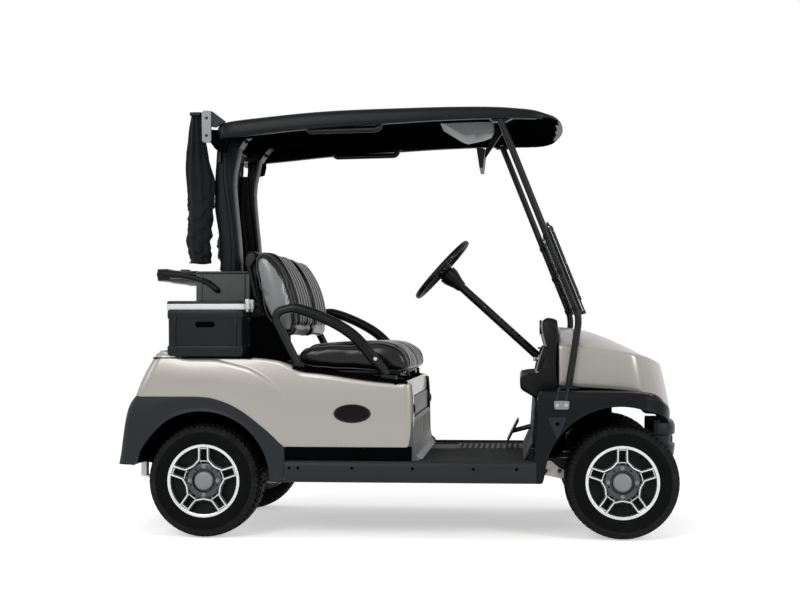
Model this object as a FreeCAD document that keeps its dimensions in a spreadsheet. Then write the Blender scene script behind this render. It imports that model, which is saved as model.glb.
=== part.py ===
import FreeCAD
import Part
import Sketcher
import math
import os

# Two-seat golf cart.  +X is forward, +Y is the driver's side, +Z is up.
# The origin lies on the ground below the middle of the cart.  All sizes are millimetres.

SIZES = {
    # overall
    "half_length": 1165, "half_width": 600, "roof_top": 1752,
    # wheels
    "wheelbase": 1664, "rear_axle_x": -778, "tyre_radius": 228.5, "tyre_half": 102,
    "rear_wheel_y": 489, "front_wheel_y": 438, "bead_radius": 130, "barrel_wall": 10,
    "flange_radius": 147, "flange_wall": 6, "barrel_half": 94, "disc_wall": 16, "disc_y": 56,
    "hub_radius": 40, "stub_radius": 15, "running_fit": 0.06, "seat_gap": 0.3,
    # steering
    "kingpin_y": 320, "kingpin_radius": 9, "knuckle_radius": 20, "knuckle_low": 176,
    "knuckle_high": 276, "arm_reach": 115, "pin_radius": 5, "rod_radius": 8, "rod_z": 164,
    "eye_radius": 13, "eye_half": 7, "arm_low": 178, "arm_wall": 12, "pitman_y": 55, "pitman_low": 192,
    "wheel_hub_x": 134, "wheel_hub_y": 270, "wheel_hub_z": 1108, "column_tilt": 47.7,
    "steering_radius": 162, "grip_radius": 13, "column_radius": 19, "column_length": 640,
    # frame and floor
    "skin": 5, "rail_y": 330, "rail_wall": 40, "nose_rail_y": 165, "rail_low": 238, "rail_high": 297,
    "floor_top": 305, "rail_kick_low": 330, "rail_kick_high": 395,
    # body
    "sill_low": 226, "sill_high": 315, "sill_x_rear": -450, "sill_x_front": 548,
    "arch_rear": 280, "arch_front": 305, "seat_base_x": 58, "side_low": 362,
    "bumper_low": 291, "body_split_z": 578, "deck_z": 722, "well_low": 520, "well_half": 385,
    # cowl and dash
    "cowl_half": 430, "cowl_rear_x": 640, "cowl_low": 604, "dash_half": 420, "dash_low": 553, "cup_radius": 41,
    # roof
    "roof_half": 475, "roof_wall": 5, "strut_y": 452, "strut_radius": 14, "rear_strut_y": 245,
    "strut_foot_x": 677, "strut_foot_z": 598.5, "strut_knee_x": 722, "strut_knee_z": 884,
    "strut_head_x": 399.3, "strut_head_z": 1700,
    # windshield
    "pane_wall": 5, "pane_half": 455, "pane_length": 398, "hinge_along": 400, "pane_gap": 6, "hinge_radius": 4,
    # seat
    "seat_half": 495, "seat_high": 785, "back_low": 808, "back_high": 1150,
    # luggage
    "rack_z": 1064, "rack_x": -1010, "rack_y": 300, "cover_y": 318, "cover_low": 1110,
    "cooler_length": 297, "cooler_width": 195, "cooler_wall": 12, "cooler_low": 730, "cooler_high": 930,
}

doc = FreeCAD.newDocument("GolfCart")
sheet = doc.addObject("Spreadsheet::Sheet", "Sizes")
for row, (alias, number) in enumerate(SIZES.items(), 1):
    sheet.set("A%d" % row, alias)
    sheet.set("B%d" % row, str(number))
    sheet.setAlias("B%d" % row, alias)
doc.recompute()

LEFT = FreeCAD.Vector(0, 1, 0)
UP = FreeCAD.Vector(0, 0, 1)
PLANE_AXES = {"XY_Plane": (0, 1), "XZ_Plane": (0, 2), "YZ_Plane": (1, 2)}
finished = []


# A size is written as a sum of plain numbers and sheet names, each name with an optional factor,
# such as "rear_axle_x + wheelbase" or "0.5*rail_wall - 2".
def terms(size):
    sign = 1
    for word in str(size).replace("+", " + ").replace("- ", " - ").split():
        if word == "+":
            sign = 1
        elif word == "-":
            sign = -1
        else:
            minus = word.startswith("-")
            factor, star, name = word.lstrip("-").rpartition("*")
            yield (-sign if minus else sign), (float(factor) if star else 1.0), name
            sign = 1


def number(size):
    total = 0.0
    for sign, factor, name in terms(size):
        total += sign * factor * (float(sheet.get(name)) if name in SIZES else float(name))
    return total


def formula(size):
    text = ""
    for sign, factor, name in terms(size):
        cell = "Sizes." + name if name in SIZES else name
        text += "%s %g * %s " % ("-" if sign < 0 else "+", factor, cell)
    return "0 " + text


def bind(thing, **sizes):
    for prop, size in sizes.items():
        thing.setExpression(prop.replace("__", "."), formula(size))


def place(thing, x=0, y=0, z=0):
    for axis, size in (("x", x), ("y", y), ("z", z)):
        thing.setExpression("Placement.Base." + axis, formula(size))


# ---- sketches and solids -------------------------------------------------------------------

def new_body(name):
    body = doc.addObject("PartDesign::Body", name)
    body.Label = name
    return body


def new_sketch(body, plane, start):
    sketch = body.newObject("Sketcher::SketchObject", body.Name + "_sketch")
    support = [f for f in body.Origin.OriginFeatures if f.Role == plane][0]
    sketch.AttachmentSupport = [(support, "")]
    sketch.MapMode = "FlatFace"
    sketch.setExpression("AttachmentOffset.Base.z", formula(start))
    return sketch


# corners: rows of (first axis, second axis, optional rounding radius)
def outline(body, plane, corners, start=0):
    sketch = new_sketch(body, plane, start)
    flat = [FreeCAD.Vector(number(c[0]), number(c[1]), 0) for c in corners]
    count = len(flat)
    for i in range(count):
        sketch.addGeometry(Part.LineSegment(flat[i], flat[(i + 1) % count]), False)
    for i in range(count):
        sketch.addConstraint(Sketcher.Constraint("Coincident", i, 2, (i + 1) % count, 1))
    for i, corner in enumerate(corners):
        for kind, size in (("DistanceX", corner[0]), ("DistanceY", corner[1])):
            held = sketch.addConstraint(Sketcher.Constraint(kind, -1, 1, i, 1, number(size)))
            sketch.setExpression("Constraints[%d]" % held, formula(size))
    return sketch


# rounds: rows of (first axis, second axis, radius), one circle each
def circles(body, plane, rounds, start=0):
    sketch = new_sketch(body, plane, start)
    for i, (u, v, radius) in enumerate(rounds):
        centre = FreeCAD.Vector(number(u), number(v), 0)
        sketch.addGeometry(Part.Circle(centre, FreeCAD.Vector(0, 0, 1), number(radius)), False)
        for kind, size in (("DistanceX", u), ("DistanceY", v)):
            held = sketch.addConstraint(Sketcher.Constraint(kind, -1, 1, i, 3, number(size)))
            sketch.setExpression("Constraints[%d]" % held, formula(size))
        held = sketch.addConstraint(Sketcher.Constraint("Radius", i, number(radius)))
        sketch.setExpression("Constraints[%d]" % held, formula(radius))
    return sketch


def pad(body, sketch, length, both_ways=False):
    feature = body.newObject("PartDesign::Pad", body.Name + "_pad")
    feature.Profile = sketch
    feature.Midplane = both_ways
    bind(feature, Length=length)
    return feature


def pocket(body, sketch, length, both_ways=True):
    feature = body.newObject("PartDesign::Pocket", body.Name + "_pocket")
    feature.Profile = sketch
    feature.Midplane = both_ways
    bind(feature, Length=length)
    return feature


# rounds the edges that run through the corners of an outline which carry a radius
def round_corners(body, feature, plane, corners):
    first, second = PLANE_AXES[plane]
    by_radius = {}
    for corner in corners:
        if len(corner) > 2:
            by_radius.setdefault(corner[2], []).append((number(corner[0]), number(corner[1])))
    for radius, spots in by_radius.items():
        doc.recompute()
        names = []
        for i, edge in enumerate(feature.Shape.Edges, 1):
            ends = [tuple(v.Point)[first:second + 1:second - first] for v in edge.Vertexes]
            same = len(ends) == 2 and math.dist(ends[0], ends[1]) < 0.01
            if same and any(math.dist(ends[0], spot) < 0.01 for spot in spots):
                names.append("Edge%d" % i)
        rounded = body.newObject("PartDesign::Fillet", body.Name + "_round")
        rounded.Base = (feature, names)
        bind(rounded, Radius=radius)
        feature = rounded
    return feature


# a flat outline pushed out from start by length, away from the plane
def prism(name, plane, corners, start, length, both_ways=False):
    body = new_body(name)
    feature = pad(body, outline(body, plane, corners, start), length, both_ways)
    round_corners(body, feature, plane, corners)
    return body


def block(name, x, y, z, long, wide, tall):
    box = doc.addObject("Part::Box", name)
    bind(box, Length=long, Width=wide, Height=tall)
    place(box, x, y, z)
    return box


def rod(name, base, direction, radius, length):
    bar = doc.addObject("Part::Cylinder", name)
    bind(bar, Radius=radius, Height=length)
    bar.Placement.Rotation = FreeCAD.Rotation(UP, direction)
    place(bar, *base)
    return bar


def joined(name, *pieces):
    fused = doc.addObject("Part::MultiFuse", name)
    fused.Shapes = list(pieces)
    fused.Refine = True
    return fused


def less(name, base, *tools):
    result = base
    for i, tool in enumerate(tools):
        cut = doc.addObject("Part::Cut", name if i == len(tools) - 1 else name + "_step")
        cut.Base = result
        cut.Tool = tool
        result = cut
    return result


def overlap(name, *pieces):
    common = doc.addObject("Part::MultiCommon", name)
    common.Shapes = list(pieces)
    return common


def mirrored(piece):
    twin = doc.addObject("Part::Mirroring", piece.Name + "_twin")
    twin.Source = piece
    twin.Normal = LEFT
    return twin


def grouped(name, *pieces):
    group = doc.addObject("Part::Compound", name)
    group.Links = list(pieces)
    return group


def both_sides(name, piece):
    return grouped(name, piece, mirrored(piece))


def sub_part(piece, label):
    piece.Label = label + "_node" if piece.Label == label and piece.Name != label else label
    finished.append((label, piece))
    return piece


# a round bar along straight runs joined by tangent arcs
def bent_bar(name, points, radius, bend):
    spots = [FreeCAD.Vector(*(number(c) for c in p)) for p in points]
    edges = []
    start = spots[0]
    for before, corner, after in zip(spots, spots[1:], spots[2:]):
        back, ahead = (before - corner).normalize(), (after - corner).normalize()
        half = back.getAngle(ahead) / 2
        reach = number(bend) / math.tan(half)
        entry, leave = corner + back * reach, corner + ahead * reach
        middle = (back + ahead).normalize()
        crown = corner + middle * (number(bend) / math.sin(half) - number(bend))
        edges += [Part.LineSegment(start, entry).toShape(), Part.Arc(entry, crown, leave).toShape()]
        start = leave
    edges.append(Part.LineSegment(start, spots[-1]).toShape())
    path = Part.Wire(edges)
    ring = Part.Wire(Part.makeCircle(number(radius), spots[0], spots[1] - spots[0]))
    bar = doc.addObject("Part::Feature", name)
    bar.Shape = path.makePipeShell([ring], True, False)
    return bar


# the two ways round of a table whose rows are (first axis, second axis, inward share of each)
def outer_row(rows):
    return [(u, v) for u, v, du, dv in rows]


def inner_row(rows, wall):
    return [("%s + %g*%s" % (u, du, wall), "%s + %g*%s" % (v, dv, wall)) for u, v, du, dv in rows]


def right_and_left(rows):
    return list(rows) + [(x, flip(y), dx, -dy) for x, y, dx, dy in reversed(rows)]


def flip(size):
    text = ""
    for sign, factor, name in terms(size):
        text += " %s %g*%s" % ("+" if sign < 0 else "-", factor, name) if name in SIZES else \
            " %s %s" % ("+" if sign < 0 else "-", name)
    return "0" + text


# a thin shell: the common part of a side, a plan and an end outline, less the same set inwards
def shelled(name, side, plan, end, wall, reach="2400"):
    solids = []
    for kind, rows in (("outer", outer_row), ("inner", lambda r: inner_row(r, wall))):
        part = [prism("%s_%s_side" % (name, kind), "XZ_Plane", rows(side), "0", reach, True),
                prism("%s_%s_plan" % (name, kind), "XY_Plane", rows(plan), "0", "2000"),
                prism("%s_%s_end" % (name, kind), "YZ_Plane", rows(end), "0", "2600", True)]
        solids.append(overlap("%s_%s" % (name, kind), *part))
    return less(name + "_shell", *solids)


# a folded sheet of one thickness, run across the cart
def folded(name, rows, wall, width, start="0"):
    corners = outer_row(rows) + inner_row(rows, wall)[::-1]
    return prism(name, "XZ_Plane", corners, start, width, start == "0")


# ---- wheels --------------------------------------------------------------------------------

# ring: rows of (distance from the wheel's middle plane, radius)
def turned(name, ring):
    body = new_body(name)
    sketch = outline(body, "YZ_Plane", ring)
    turn = body.newObject("PartDesign::Revolution", name + "_turn")
    turn.Profile = sketch
    turn.ReferenceAxis = (sketch, ["H_Axis"])
    turn.Angle = 360
    return body


TYRE_RING = (
    ("-0.8*tyre_half", "bead_radius + seat_gap"), ("-0.84*tyre_half", "flange_radius + 1"),
    ("-tyre_half + 4", "flange_radius + 8"), ("-tyre_half", "flange_radius + 30"),
    ("-tyre_half + 6", "tyre_radius - 18"), ("-tyre_half + 22", "tyre_radius - 3"),
    ("-0.45*tyre_half", "tyre_radius"), ("0.45*tyre_half", "tyre_radius"),
    ("tyre_half - 22", "tyre_radius - 3"), ("tyre_half - 6", "tyre_radius - 18"),
    ("tyre_half", "flange_radius + 30"), ("tyre_half - 4", "flange_radius + 8"),
    ("0.84*tyre_half", "flange_radius + 1"), ("0.8*tyre_half", "bead_radius + seat_gap"),
)
RIM_RING = (
    ("-barrel_half", "bead_radius - barrel_wall"), ("-barrel_half", "flange_radius"),
    ("-barrel_half + flange_wall", "flange_radius"), ("-barrel_half + flange_wall", "bead_radius"),
    ("barrel_half - flange_wall", "bead_radius"), ("barrel_half - flange_wall", "flange_radius"),
    ("barrel_half", "flange_radius"), ("barrel_half", "bead_radius - barrel_wall"),
    ("disc_y + disc_wall", "bead_radius - barrel_wall"), ("disc_y + disc_wall", "stub_radius + running_fit"),
    ("disc_y - 40", "stub_radius + running_fit"), ("disc_y - 40", "hub_radius"),
    ("disc_y", "hub_radius"), ("disc_y", "bead_radius - barrel_wall"),
)


def rim(name):
    body = turned(name, RIM_RING)
    window = outline(body, "XZ_Plane", (
        ("-26", "hub_radius + 20"), ("26", "hub_radius + 20"),
        ("44", "bead_radius - barrel_wall - 12"), ("-44", "bead_radius - barrel_wall - 12"),
    ))
    opening = pocket(body, window, "4*barrel_half")
    ring = body.newObject("PartDesign::PolarPattern", name + "_ring")
    ring.Originals = [opening]
    axis = [f for f in body.Origin.OriginFeatures if f.Role == "Y_Axis"][0]
    ring.Axis = (axis, [""])
    ring.Angle = 360
    ring.Occurrences = 5
    body.Tip = ring
    return body


# corner: row of (name, x of the axle, y of the wheel's middle plane)
CORNERS = (
    ("rear_right", "rear_axle_x", "-rear_wheel_y"),
    ("rear_left", "rear_axle_x", "rear_wheel_y"),
    ("front_right", "rear_axle_x + wheelbase", "-front_wheel_y"),
    ("front_left", "rear_axle_x + wheelbase", "front_wheel_y"),
)
for corner_name, axle_x, wheel_y in CORNERS:
    for piece, label in ((turned("tyre_" + corner_name, TYRE_RING), "tyre_" + corner_name),
                         (rim("rim_" + corner_name), "rim_" + corner_name)):
        if corner_name.endswith("right"):
            piece.Placement.Rotation = FreeCAD.Rotation(UP, 180)
        place(piece, axle_x, wheel_y, "tyre_radius")
        sub_part(piece, label)


# ---- front axle and steering linkage ----------------------------------------------------------

FRONT_X = "rear_axle_x + wheelbase"
PIN_X = FRONT_X + " - arm_reach"


def knuckle(side, sign):
    y = sign + "kingpin_y"
    name = "knuckle_" + side
    sleeve = rod(name + "_sleeve", (FRONT_X, y, "knuckle_low"), UP, "knuckle_radius",
                 "knuckle_high - knuckle_low")
    bore = rod(name + "_bore", (FRONT_X, y, "knuckle_low - 5"), UP, "kingpin_radius + running_fit",
               "knuckle_high - knuckle_low + 10")
    outward = LEFT if sign == "" else LEFT * -1
    start = y + (" + kingpin_radius + 4" if sign == "" else " - kingpin_radius - 4")
    spindle = rod(name + "_spindle", (FRONT_X, start, "tyre_radius"), outward, "stub_radius",
                  "front_wheel_y + disc_y + disc_wall - kingpin_y - kingpin_radius - 6")
    shoulder = rod(name + "_shoulder", (FRONT_X, start, "tyre_radius"), outward, "stub_radius + 8", "42")
    arm = block(name + "_arm", PIN_X, y + " - 10", "arm_low", "arm_reach", "20", "arm_wall")
    boss = rod(name + "_boss", (PIN_X, y, "arm_low"), UP, "eye_radius", "arm_wall")
    pin = rod(name + "_pin", (PIN_X, y, "rod_z - eye_half - 3"), UP, "pin_radius",
              "arm_low - rod_z + eye_half + 4")
    solid = joined(name + "_solid", sleeve, spindle, shoulder, arm, boss, pin)
    return sub_part(less(name, solid, bore), name)


knuckle("right", "-")
knuckle("left", "")


def front_axle():
    beam = block("beam", FRONT_X + " - 22", "-kingpin_y + 40", "150", "44", "2*kingpin_y - 80", "34")
    sides = []
    for side, sign in (("right", -1), ("left", 1)):
        y = "kingpin_y" if sign > 0 else "-kingpin_y"
        inner = "kingpin_y - 50" if sign > 0 else "-kingpin_y + 38"
        lug = "kingpin_y - 50" if sign > 0 else "-kingpin_y"
        sides.append(block("axle_post_" + side, FRONT_X + " - 18", inner, "150", "36", "12", "150"))
        for level, low in (("low", "knuckle_low - 20"), ("high", "knuckle_high + 6")):
            sides.append(block("ear_%s_%s" % (level, side), FRONT_X + " - 18", lug, low, "36", "50", "14"))
            sides.append(rod("ear_end_%s_%s" % (level, side), (FRONT_X, y, low), UP, "18", "14"))
        sides.append(rod("kingpin_" + side, (FRONT_X, y, "knuckle_low - 20"), UP, "kingpin_radius",
                         "knuckle_high - knuckle_low + 40"))
    return sub_part(joined("front_axle", beam, *sides), "front_axle")


front_axle()


def tie_rod():
    bar = rod("tie_bar", (PIN_X, "-kingpin_y", "rod_z"), LEFT, "rod_radius", "2*kingpin_y")
    eyes = []
    holes = []
    for i, y in enumerate(("-kingpin_y", "pitman_y", "kingpin_y")):
        eyes.append(rod("tie_eye_%d" % i, (PIN_X, y, "rod_z - eye_half"), UP, "eye_radius", "2*eye_half"))
        holes.append(rod("tie_hole_%d" % i, (PIN_X, y, "rod_z - 20"), UP, "pin_radius + running_fit", "40"))
    solid = joined("tie_solid", bar, *eyes)
    return sub_part(less("tie_rod", solid, joined("tie_holes", *holes)), "tie_rod")


tie_rod()


def pitman_arm():
    arm = block("pitman_bar", PIN_X, "pitman_y - 10", "pitman_low", "arm_reach", "20", "arm_wall")
    ends = [rod("pitman_end", (PIN_X, "pitman_y", "pitman_low"), UP, "eye_radius", "arm_wall"),
            rod("pitman_hub", (FRONT_X, "pitman_y", "pitman_low"), UP, "18", "arm_wall")]
    pin = rod("pitman_pin", (PIN_X, "pitman_y", "rod_z - eye_half - 3"), UP, "pin_radius",
              "pitman_low - rod_z + eye_half + 4")
    hole = rod("pitman_hole", (FRONT_X, "pitman_y", "pitman_low - 5"), UP, "kingpin_radius + running_fit",
               "30")
    return sub_part(less("pitman_arm", joined("pitman_solid", arm, pin, *ends), hole), "pitman_arm")


pitman_arm()


def steering_gear():
    case = block("gear_case", FRONT_X + " - 45", "pitman_y - 42", "pitman_low + arm_wall + 6", "90", "84",
                 "86")
    shaft = rod("gear_shaft", (FRONT_X, "pitman_y", "pitman_low - 2"), UP, "kingpin_radius", "60")
    lug = block("gear_lug", FRONT_X + " - 45", "pitman_y + 42", "rail_low + 10", "90",
                "nose_rail_y - 0.5*rail_wall - pitman_y - 42", "30")
    return sub_part(joined("steering_gear", case, shaft, lug), "steering_gear")


steering_gear()


def spring(name, y, eye_front, eye_rear, seat_x, seat_z, eye_z, leaf):
    body = prism(name, "XZ_Plane", (
        (eye_rear, eye_z), (seat_x + " - 150", seat_z + " + 12"), (seat_x, seat_z),
        (seat_x + " + 150", seat_z + " + 12"), (eye_front, eye_z),
        (eye_front, eye_z + " + " + leaf), (seat_x + " + 150", seat_z + " + 14 + " + leaf),
        (seat_x + " + 60", seat_z + " + 16"), (seat_x + " - 60", seat_z + " + 16"),
        (seat_x + " - 150", seat_z + " + 14 + " + leaf), (eye_rear, eye_z + " + " + leaf),
    ), y + " - 22", "44")
    return body


def front_springs():
    leaf = spring("front_leaf", "nose_rail_y", FRONT_X + " + 215", FRONT_X + " - 220", FRONT_X, "184", "224",
                  "8")
    hangers = [block("front_hanger_%d" % i, x, "-nose_rail_y - 22", "224", "24", "44", "rail_low - 224")
               for i, x in enumerate((FRONT_X + " + 195", FRONT_X + " - 220"))]
    return sub_part(both_sides("front_springs", joined("front_spring_side", leaf, *hangers)), "front_springs")


front_springs()


# ---- rear axle ---------------------------------------------------------------------------------

def rear_axle():
    tube = rod("axle_tube", ("rear_axle_x", "-rear_wheel_y + 110", "tyre_radius"), LEFT, "34",
               "2*rear_wheel_y - 220")
    stub = rod("axle_stub", ("rear_axle_x", "-rear_wheel_y - disc_y - disc_wall + 2", "tyre_radius"), LEFT,
               "stub_radius", "2*rear_wheel_y + 2*disc_y + 2*disc_wall - 4")
    diff = rod("axle_diff", ("rear_axle_x", "20", "tyre_radius"), LEFT, "88", "95")
    case = block("axle_case", "rear_axle_x", "20", "tyre_radius - 60", "200", "95", "120")
    motor = rod("axle_motor", ("rear_axle_x + 185", "-190", "tyre_radius + 12"), LEFT, "82", "230")
    return sub_part(joined("rear_axle", tube, stub, diff, case, motor), "rear_axle")


rear_axle()


def rear_springs():
    leaf = spring("rear_leaf", "rail_y", "rear_axle_x + 490", "rear_axle_x - 312", "rear_axle_x",
                  "tyre_radius - 50.5", "226", "8")
    front_hanger = block("rear_hanger_front", "rear_axle_x + 466", "-rail_y - 22", "226", "24", "44",
                         "rail_low - 226")
    shackle = block("rear_shackle", "rear_axle_x - 312", "-rail_y - 22", "226", "22", "44",
                    "rail_kick_low - 226")
    return sub_part(both_sides("rear_springs", joined("rear_spring_side", leaf, front_hanger, shackle)),
                    "rear_springs")


rear_springs()


# ---- frame and floor -----------------------------------------------------------------------------

def chassis_frame():
    main = prism("rail", "XZ_Plane", (
        ("rear_axle_x - 325", "rail_kick_low"), ("sill_x_rear - 40", "rail_kick_low"),
        ("sill_x_rear - 40", "rail_low"), ("sill_x_front + 30", "rail_low"),
        ("sill_x_front + 30", "rail_high"), ("sill_x_rear", "rail_high"),
        ("sill_x_rear", "rail_kick_high"), ("rear_axle_x - 325", "rail_kick_high"),
    ), "rail_y - 0.5*rail_wall", "rail_wall")
    nose = block("nose_rail", "sill_x_front", "-nose_rail_y - 0.5*rail_wall", "rail_low",
                 "half_length - 60 - sill_x_front", "rail_wall", "rail_high - rail_low")
    crosses = []
    # cross members: x, underside and height
    for i, (x, low, tall) in enumerate((
        ("rear_axle_x - 325", "rail_kick_low", "rail_kick_high - rail_kick_low"),
        ("sill_x_rear - 40", "rail_low", "rail_kick_high - rail_low"),
        ("seat_base_x - 40", "rail_low", "rail_high - rail_low"),
        ("sill_x_front", "rail_low", "rail_high - rail_low"),
    )):
        crosses.append(block("cross_%d" % i, x, "-rail_y", low, "40", "2*rail_y", tall))
    crosses.append(block("cross_nose", "half_length - 100", "-nose_rail_y", "rail_low", "40", "2*nose_rail_y",
                         "rail_high - rail_low"))
    return sub_part(joined("chassis_frame", main, mirrored(main), nose, mirrored(nose), *crosses),
                    "chassis_frame")


chassis_frame()


def floor_pan():
    toe_x = "sill_x_front - 50"
    flat = block("floor_flat", "seat_base_x + 8", "-half_width + 50", "rail_high + seat_gap",
                 "sill_x_front - seat_base_x - 58", "2*half_width - 100",
                 "floor_top + 1 - rail_high - seat_gap")
    toe = prism("toe_board", "XZ_Plane", (
        (toe_x + " - 20", "rail_high + seat_gap"), (toe_x, "rail_high + seat_gap"),
        ("sill_x_front - 8", "rail_high + 88"), ("sill_x_front + 4", "dash_low - 3"),
        ("sill_x_front - 5", "dash_low - 3"), ("sill_x_front - 17", "rail_high + 92"),
        (toe_x + " - 4", "floor_top + 1"), (toe_x + " - 20", "floor_top + 1"),
    ), "0", "2*half_width - 125", True)
    return sub_part(joined("floor_pan", flat, toe), "floor_pan")


floor_pan()


def battery_pack():
    return sub_part(block("battery_pack", "seat_base_x - 500", "-400", "rail_high + seat_gap", "440", "800",
                          "255"),
                    "battery_pack")


battery_pack()


# ---- dark lower body --------------------------------------------------------------------------------

def sills():
    section = (
        ("-half_width + 3", "sill_low + 25"), ("-half_width + 12", "sill_low"),
        ("-half_width + 62", "sill_low"),
        ("-half_width + 62", "rail_high"), ("-half_width + 57", "rail_high"),
        ("-half_width + 57", "sill_low + skin"), ("-half_width + 14", "sill_low + skin"),
        ("-half_width + 8", "sill_low + 28"), ("-half_width + 10", "sill_high - 12"),
        ("-half_width + 16", "sill_high - skin"), ("-half_width + 62", "sill_high - skin"),
        ("-half_width + 62", "sill_high"), ("-half_width + 14", "sill_high"),
        ("-half_width + 5", "sill_high - 10"),
    )
    side = prism("sill_side", "YZ_Plane", section, "sill_x_rear + seat_gap",
                 "sill_x_front - sill_x_rear - 2*seat_gap")
    band = block("sill_band", "sill_x_rear + seat_gap", "-half_width + 2*skin + 2*seat_gap",
                 "sill_high - skin",
                 "seat_base_x - sill_x_rear - seat_gap", "skin", "side_low - sill_high + 16")
    return sub_part(both_sides("sills", joined("sill_half", side, band)), "sills")


sills()


# the rounded lip inside a wheel arch, on the right
def arch_lip(name, axle_x, arch_z, arch, outer, depth, low):
    body = new_body(name)
    pad(body, circles(body, "XZ_Plane", ((axle_x, arch_z, arch + " + skin"), (axle_x, arch_z, arch)),
                      outer + " - " + depth), depth)
    floor = outline(body, "XZ_Plane", ((axle_x + " - 400", "-200"), (axle_x + " + 400", "-200"),
                                       (axle_x + " + 400", low), (axle_x + " - 400", low)), outer)
    pocket(body, floor, "400")
    return body


REAR_ARCH_X = "rear_axle_x - 8"
FRONT_ARCH_X = FRONT_X + " - 8"


def rear_underbody():
    side = (
        ("rear_axle_x - 345", "bumper_low", 1, -2), ("rear_axle_x - 316", "509", 1, 0),
        ("rear_axle_x - 283", "body_split_z", 1, 2), ("rear_axle_x + 24", "body_split_z - 2", 0.5, 2),
        ("rear_axle_x + 145", "533", 1, 2), ("rear_axle_x + 235", "467", 1.5, 2),
        ("rear_axle_x + 296", "401", 2, 2), ("sill_x_rear", "side_low", 2, 1),
        ("sill_x_rear", "sill_low", 2, -2),
        ("rear_axle_x + 262", "sill_low", -1, -2), ("rear_axle_x + 262", "sill_low + 46", -1, -2),
        ("rear_axle_x - 282", "bumper_low", 0, -2),
    )
    plan = right_and_left((
        ("sill_x_rear", "-half_width", 2, 1), ("rear_axle_x - 315", "-half_width", 0.3, 1),
        ("rear_axle_x - 338", "-half_width + 20", 0.7, 0.7), ("rear_axle_x - 345", "-half_width + 60", 1, 0.3),
    ))
    end = (("-half_width", "150", 0, 0), ("half_width", "150", 0, 0), ("half_width", "700", 0, 0),
           ("-half_width", "700", 0, 0))
    shell = shelled("rear_underbody", side, plan, end, "skin")
    hole = rod("rear_arch_hole", (REAR_ARCH_X, "-half_width - 20", "tyre_radius"), LEFT, "arch_rear",
               "2*half_width + 40")
    lip = arch_lip("rear_lip", REAR_ARCH_X, "tyre_radius", "arch_rear", "half_width", "60", "sill_low + 50")
    return sub_part(joined("rear_underbody", less("rear_skin", shell, hole), lip, mirrored(lip)),
                    "rear_underbody")


rear_underbody()


def rear_body():
    rear = "rear_axle_x - 283 + skin + 2*seat_gap"
    side = (
        (rear + " - 5", "body_split_z - 12", 1, -2), (rear + " + 77", "deck_z + 22", 1, 2),
        ("rear_axle_x - 62", "deck_z - 6", 0, 2), ("rear_axle_x + 181", "deck_z - 6", 0, 2),
        ("rear_axle_x + 326", "deck_z - 23", 0, 2), ("rear_axle_x + 380", "660", 0, 2),
        ("seat_base_x - 288", "644", 0, 2), ("seat_base_x - 87", "614", 0, 2), ("seat_base_x", "618", 2, 2),
        ("seat_base_x", "side_low", 2, -2), ("sill_x_rear - 12", "side_low", 0, -2),
        ("rear_axle_x + 288", "389", 0, -2), ("rear_axle_x + 227", "455", 0, -2),
        ("rear_axle_x + 137", "521", 0, -2), ("rear_axle_x + 20", "body_split_z - 14", 0, -2),
    )
    wide = "-half_width + skin + seat_gap"
    plan = right_and_left((
        ("seat_base_x", wide, 2, 1), ("rear_axle_x - 258", wide, 0.3, 1),
        ("rear_axle_x - 277", wide + " + 25", 1, 0.5),
    ))
    end = (("-half_width", "150", 0, 0), ("half_width", "150", 0, 0), ("half_width", "800", 0, 0),
           ("-half_width", "800", 0, 0))
    shell = shelled("rear_body", side, plan, end, "skin")
    return sub_part(shell, "rear_body")


rear_body()


def rear_bumper():
    return sub_part(prism("rear_bumper", "XY_Plane", (
        ("rear_axle_x - 341.4", "-330"), ("-half_length + 14", "-330", "12"), ("-half_length", "-250", "40"),
        ("-half_length", "250", "40"), ("-half_length + 14", "330", "12"), ("rear_axle_x - 341.4", "330"),
    ), "rail_kick_low - 8", "82"), "rear_bumper")


rear_bumper()


def bag_well():
    # rows of the tub's side: (along, up)
    depth = (
        ("rear_axle_x - 196", "deck_z"), ("rear_axle_x - 268", "well_low"),
        ("rear_axle_x - 18", "well_low"), ("rear_axle_x - 18", "deck_z"),
    )
    tub = prism("tub_outer", "XZ_Plane", [(x + " - 5" if i < 2 else x + " + 5",
                                           z if i in (0, 3) else z + " - 5")
                                          for i, (x, z) in enumerate(depth)], "0", "2*well_half + 10", True)
    room = prism("tub_room", "XZ_Plane", [(x, z if i in (1, 2) else z + " + 10")
                                          for i, (x, z) in enumerate(depth)], "0", "2*well_half", True)
    deck = block("deck", "rear_axle_x - 205", "-half_width + 2*skin + 3*seat_gap", "deck_z - 5",
                 "400", "2*half_width - 4*skin - 6*seat_gap", "5")
    return sub_part(less("bag_well", joined("well_solid", tub, deck), room), "bag_well")


bag_well()


def kick_panel():
    face = block("kick_face", "seat_base_x + seat_gap", "-half_width + 15", "sill_high + seat_gap", "skin",
                 "2*half_width - 30", "611 - sill_high - seat_gap")
    toe = prism("kick_toe", "XZ_Plane", (
        ("seat_base_x + 0.3", "440"), ("seat_base_x + 12", "368"),
        ("seat_base_x + 32", "floor_top + 1 + seat_gap"),
        ("seat_base_x + 38", "floor_top + 1 + seat_gap"), ("seat_base_x + 17", "370"),
        ("seat_base_x + 5", "441"),
    ), "0", "2*half_width - 125", True)
    return sub_part(joined("kick_panel", face, toe), "kick_panel")


kick_panel()


# ---- front body ---------------------------------------------------------------------------------

COWL_PLAN = (
    ("cowl_rear_x", "-cowl_half", -2, 1), ("cowl_rear_x + 290", "-cowl_half", -0.4, 1),
    ("cowl_rear_x + 400", "-cowl_half + 120", -0.7, 0.7), ("cowl_rear_x + 470", "-cowl_half + 290", -1, 0.4),
    ("half_length - 35", "-cowl_half + 370", -1, 0),
)


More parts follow.
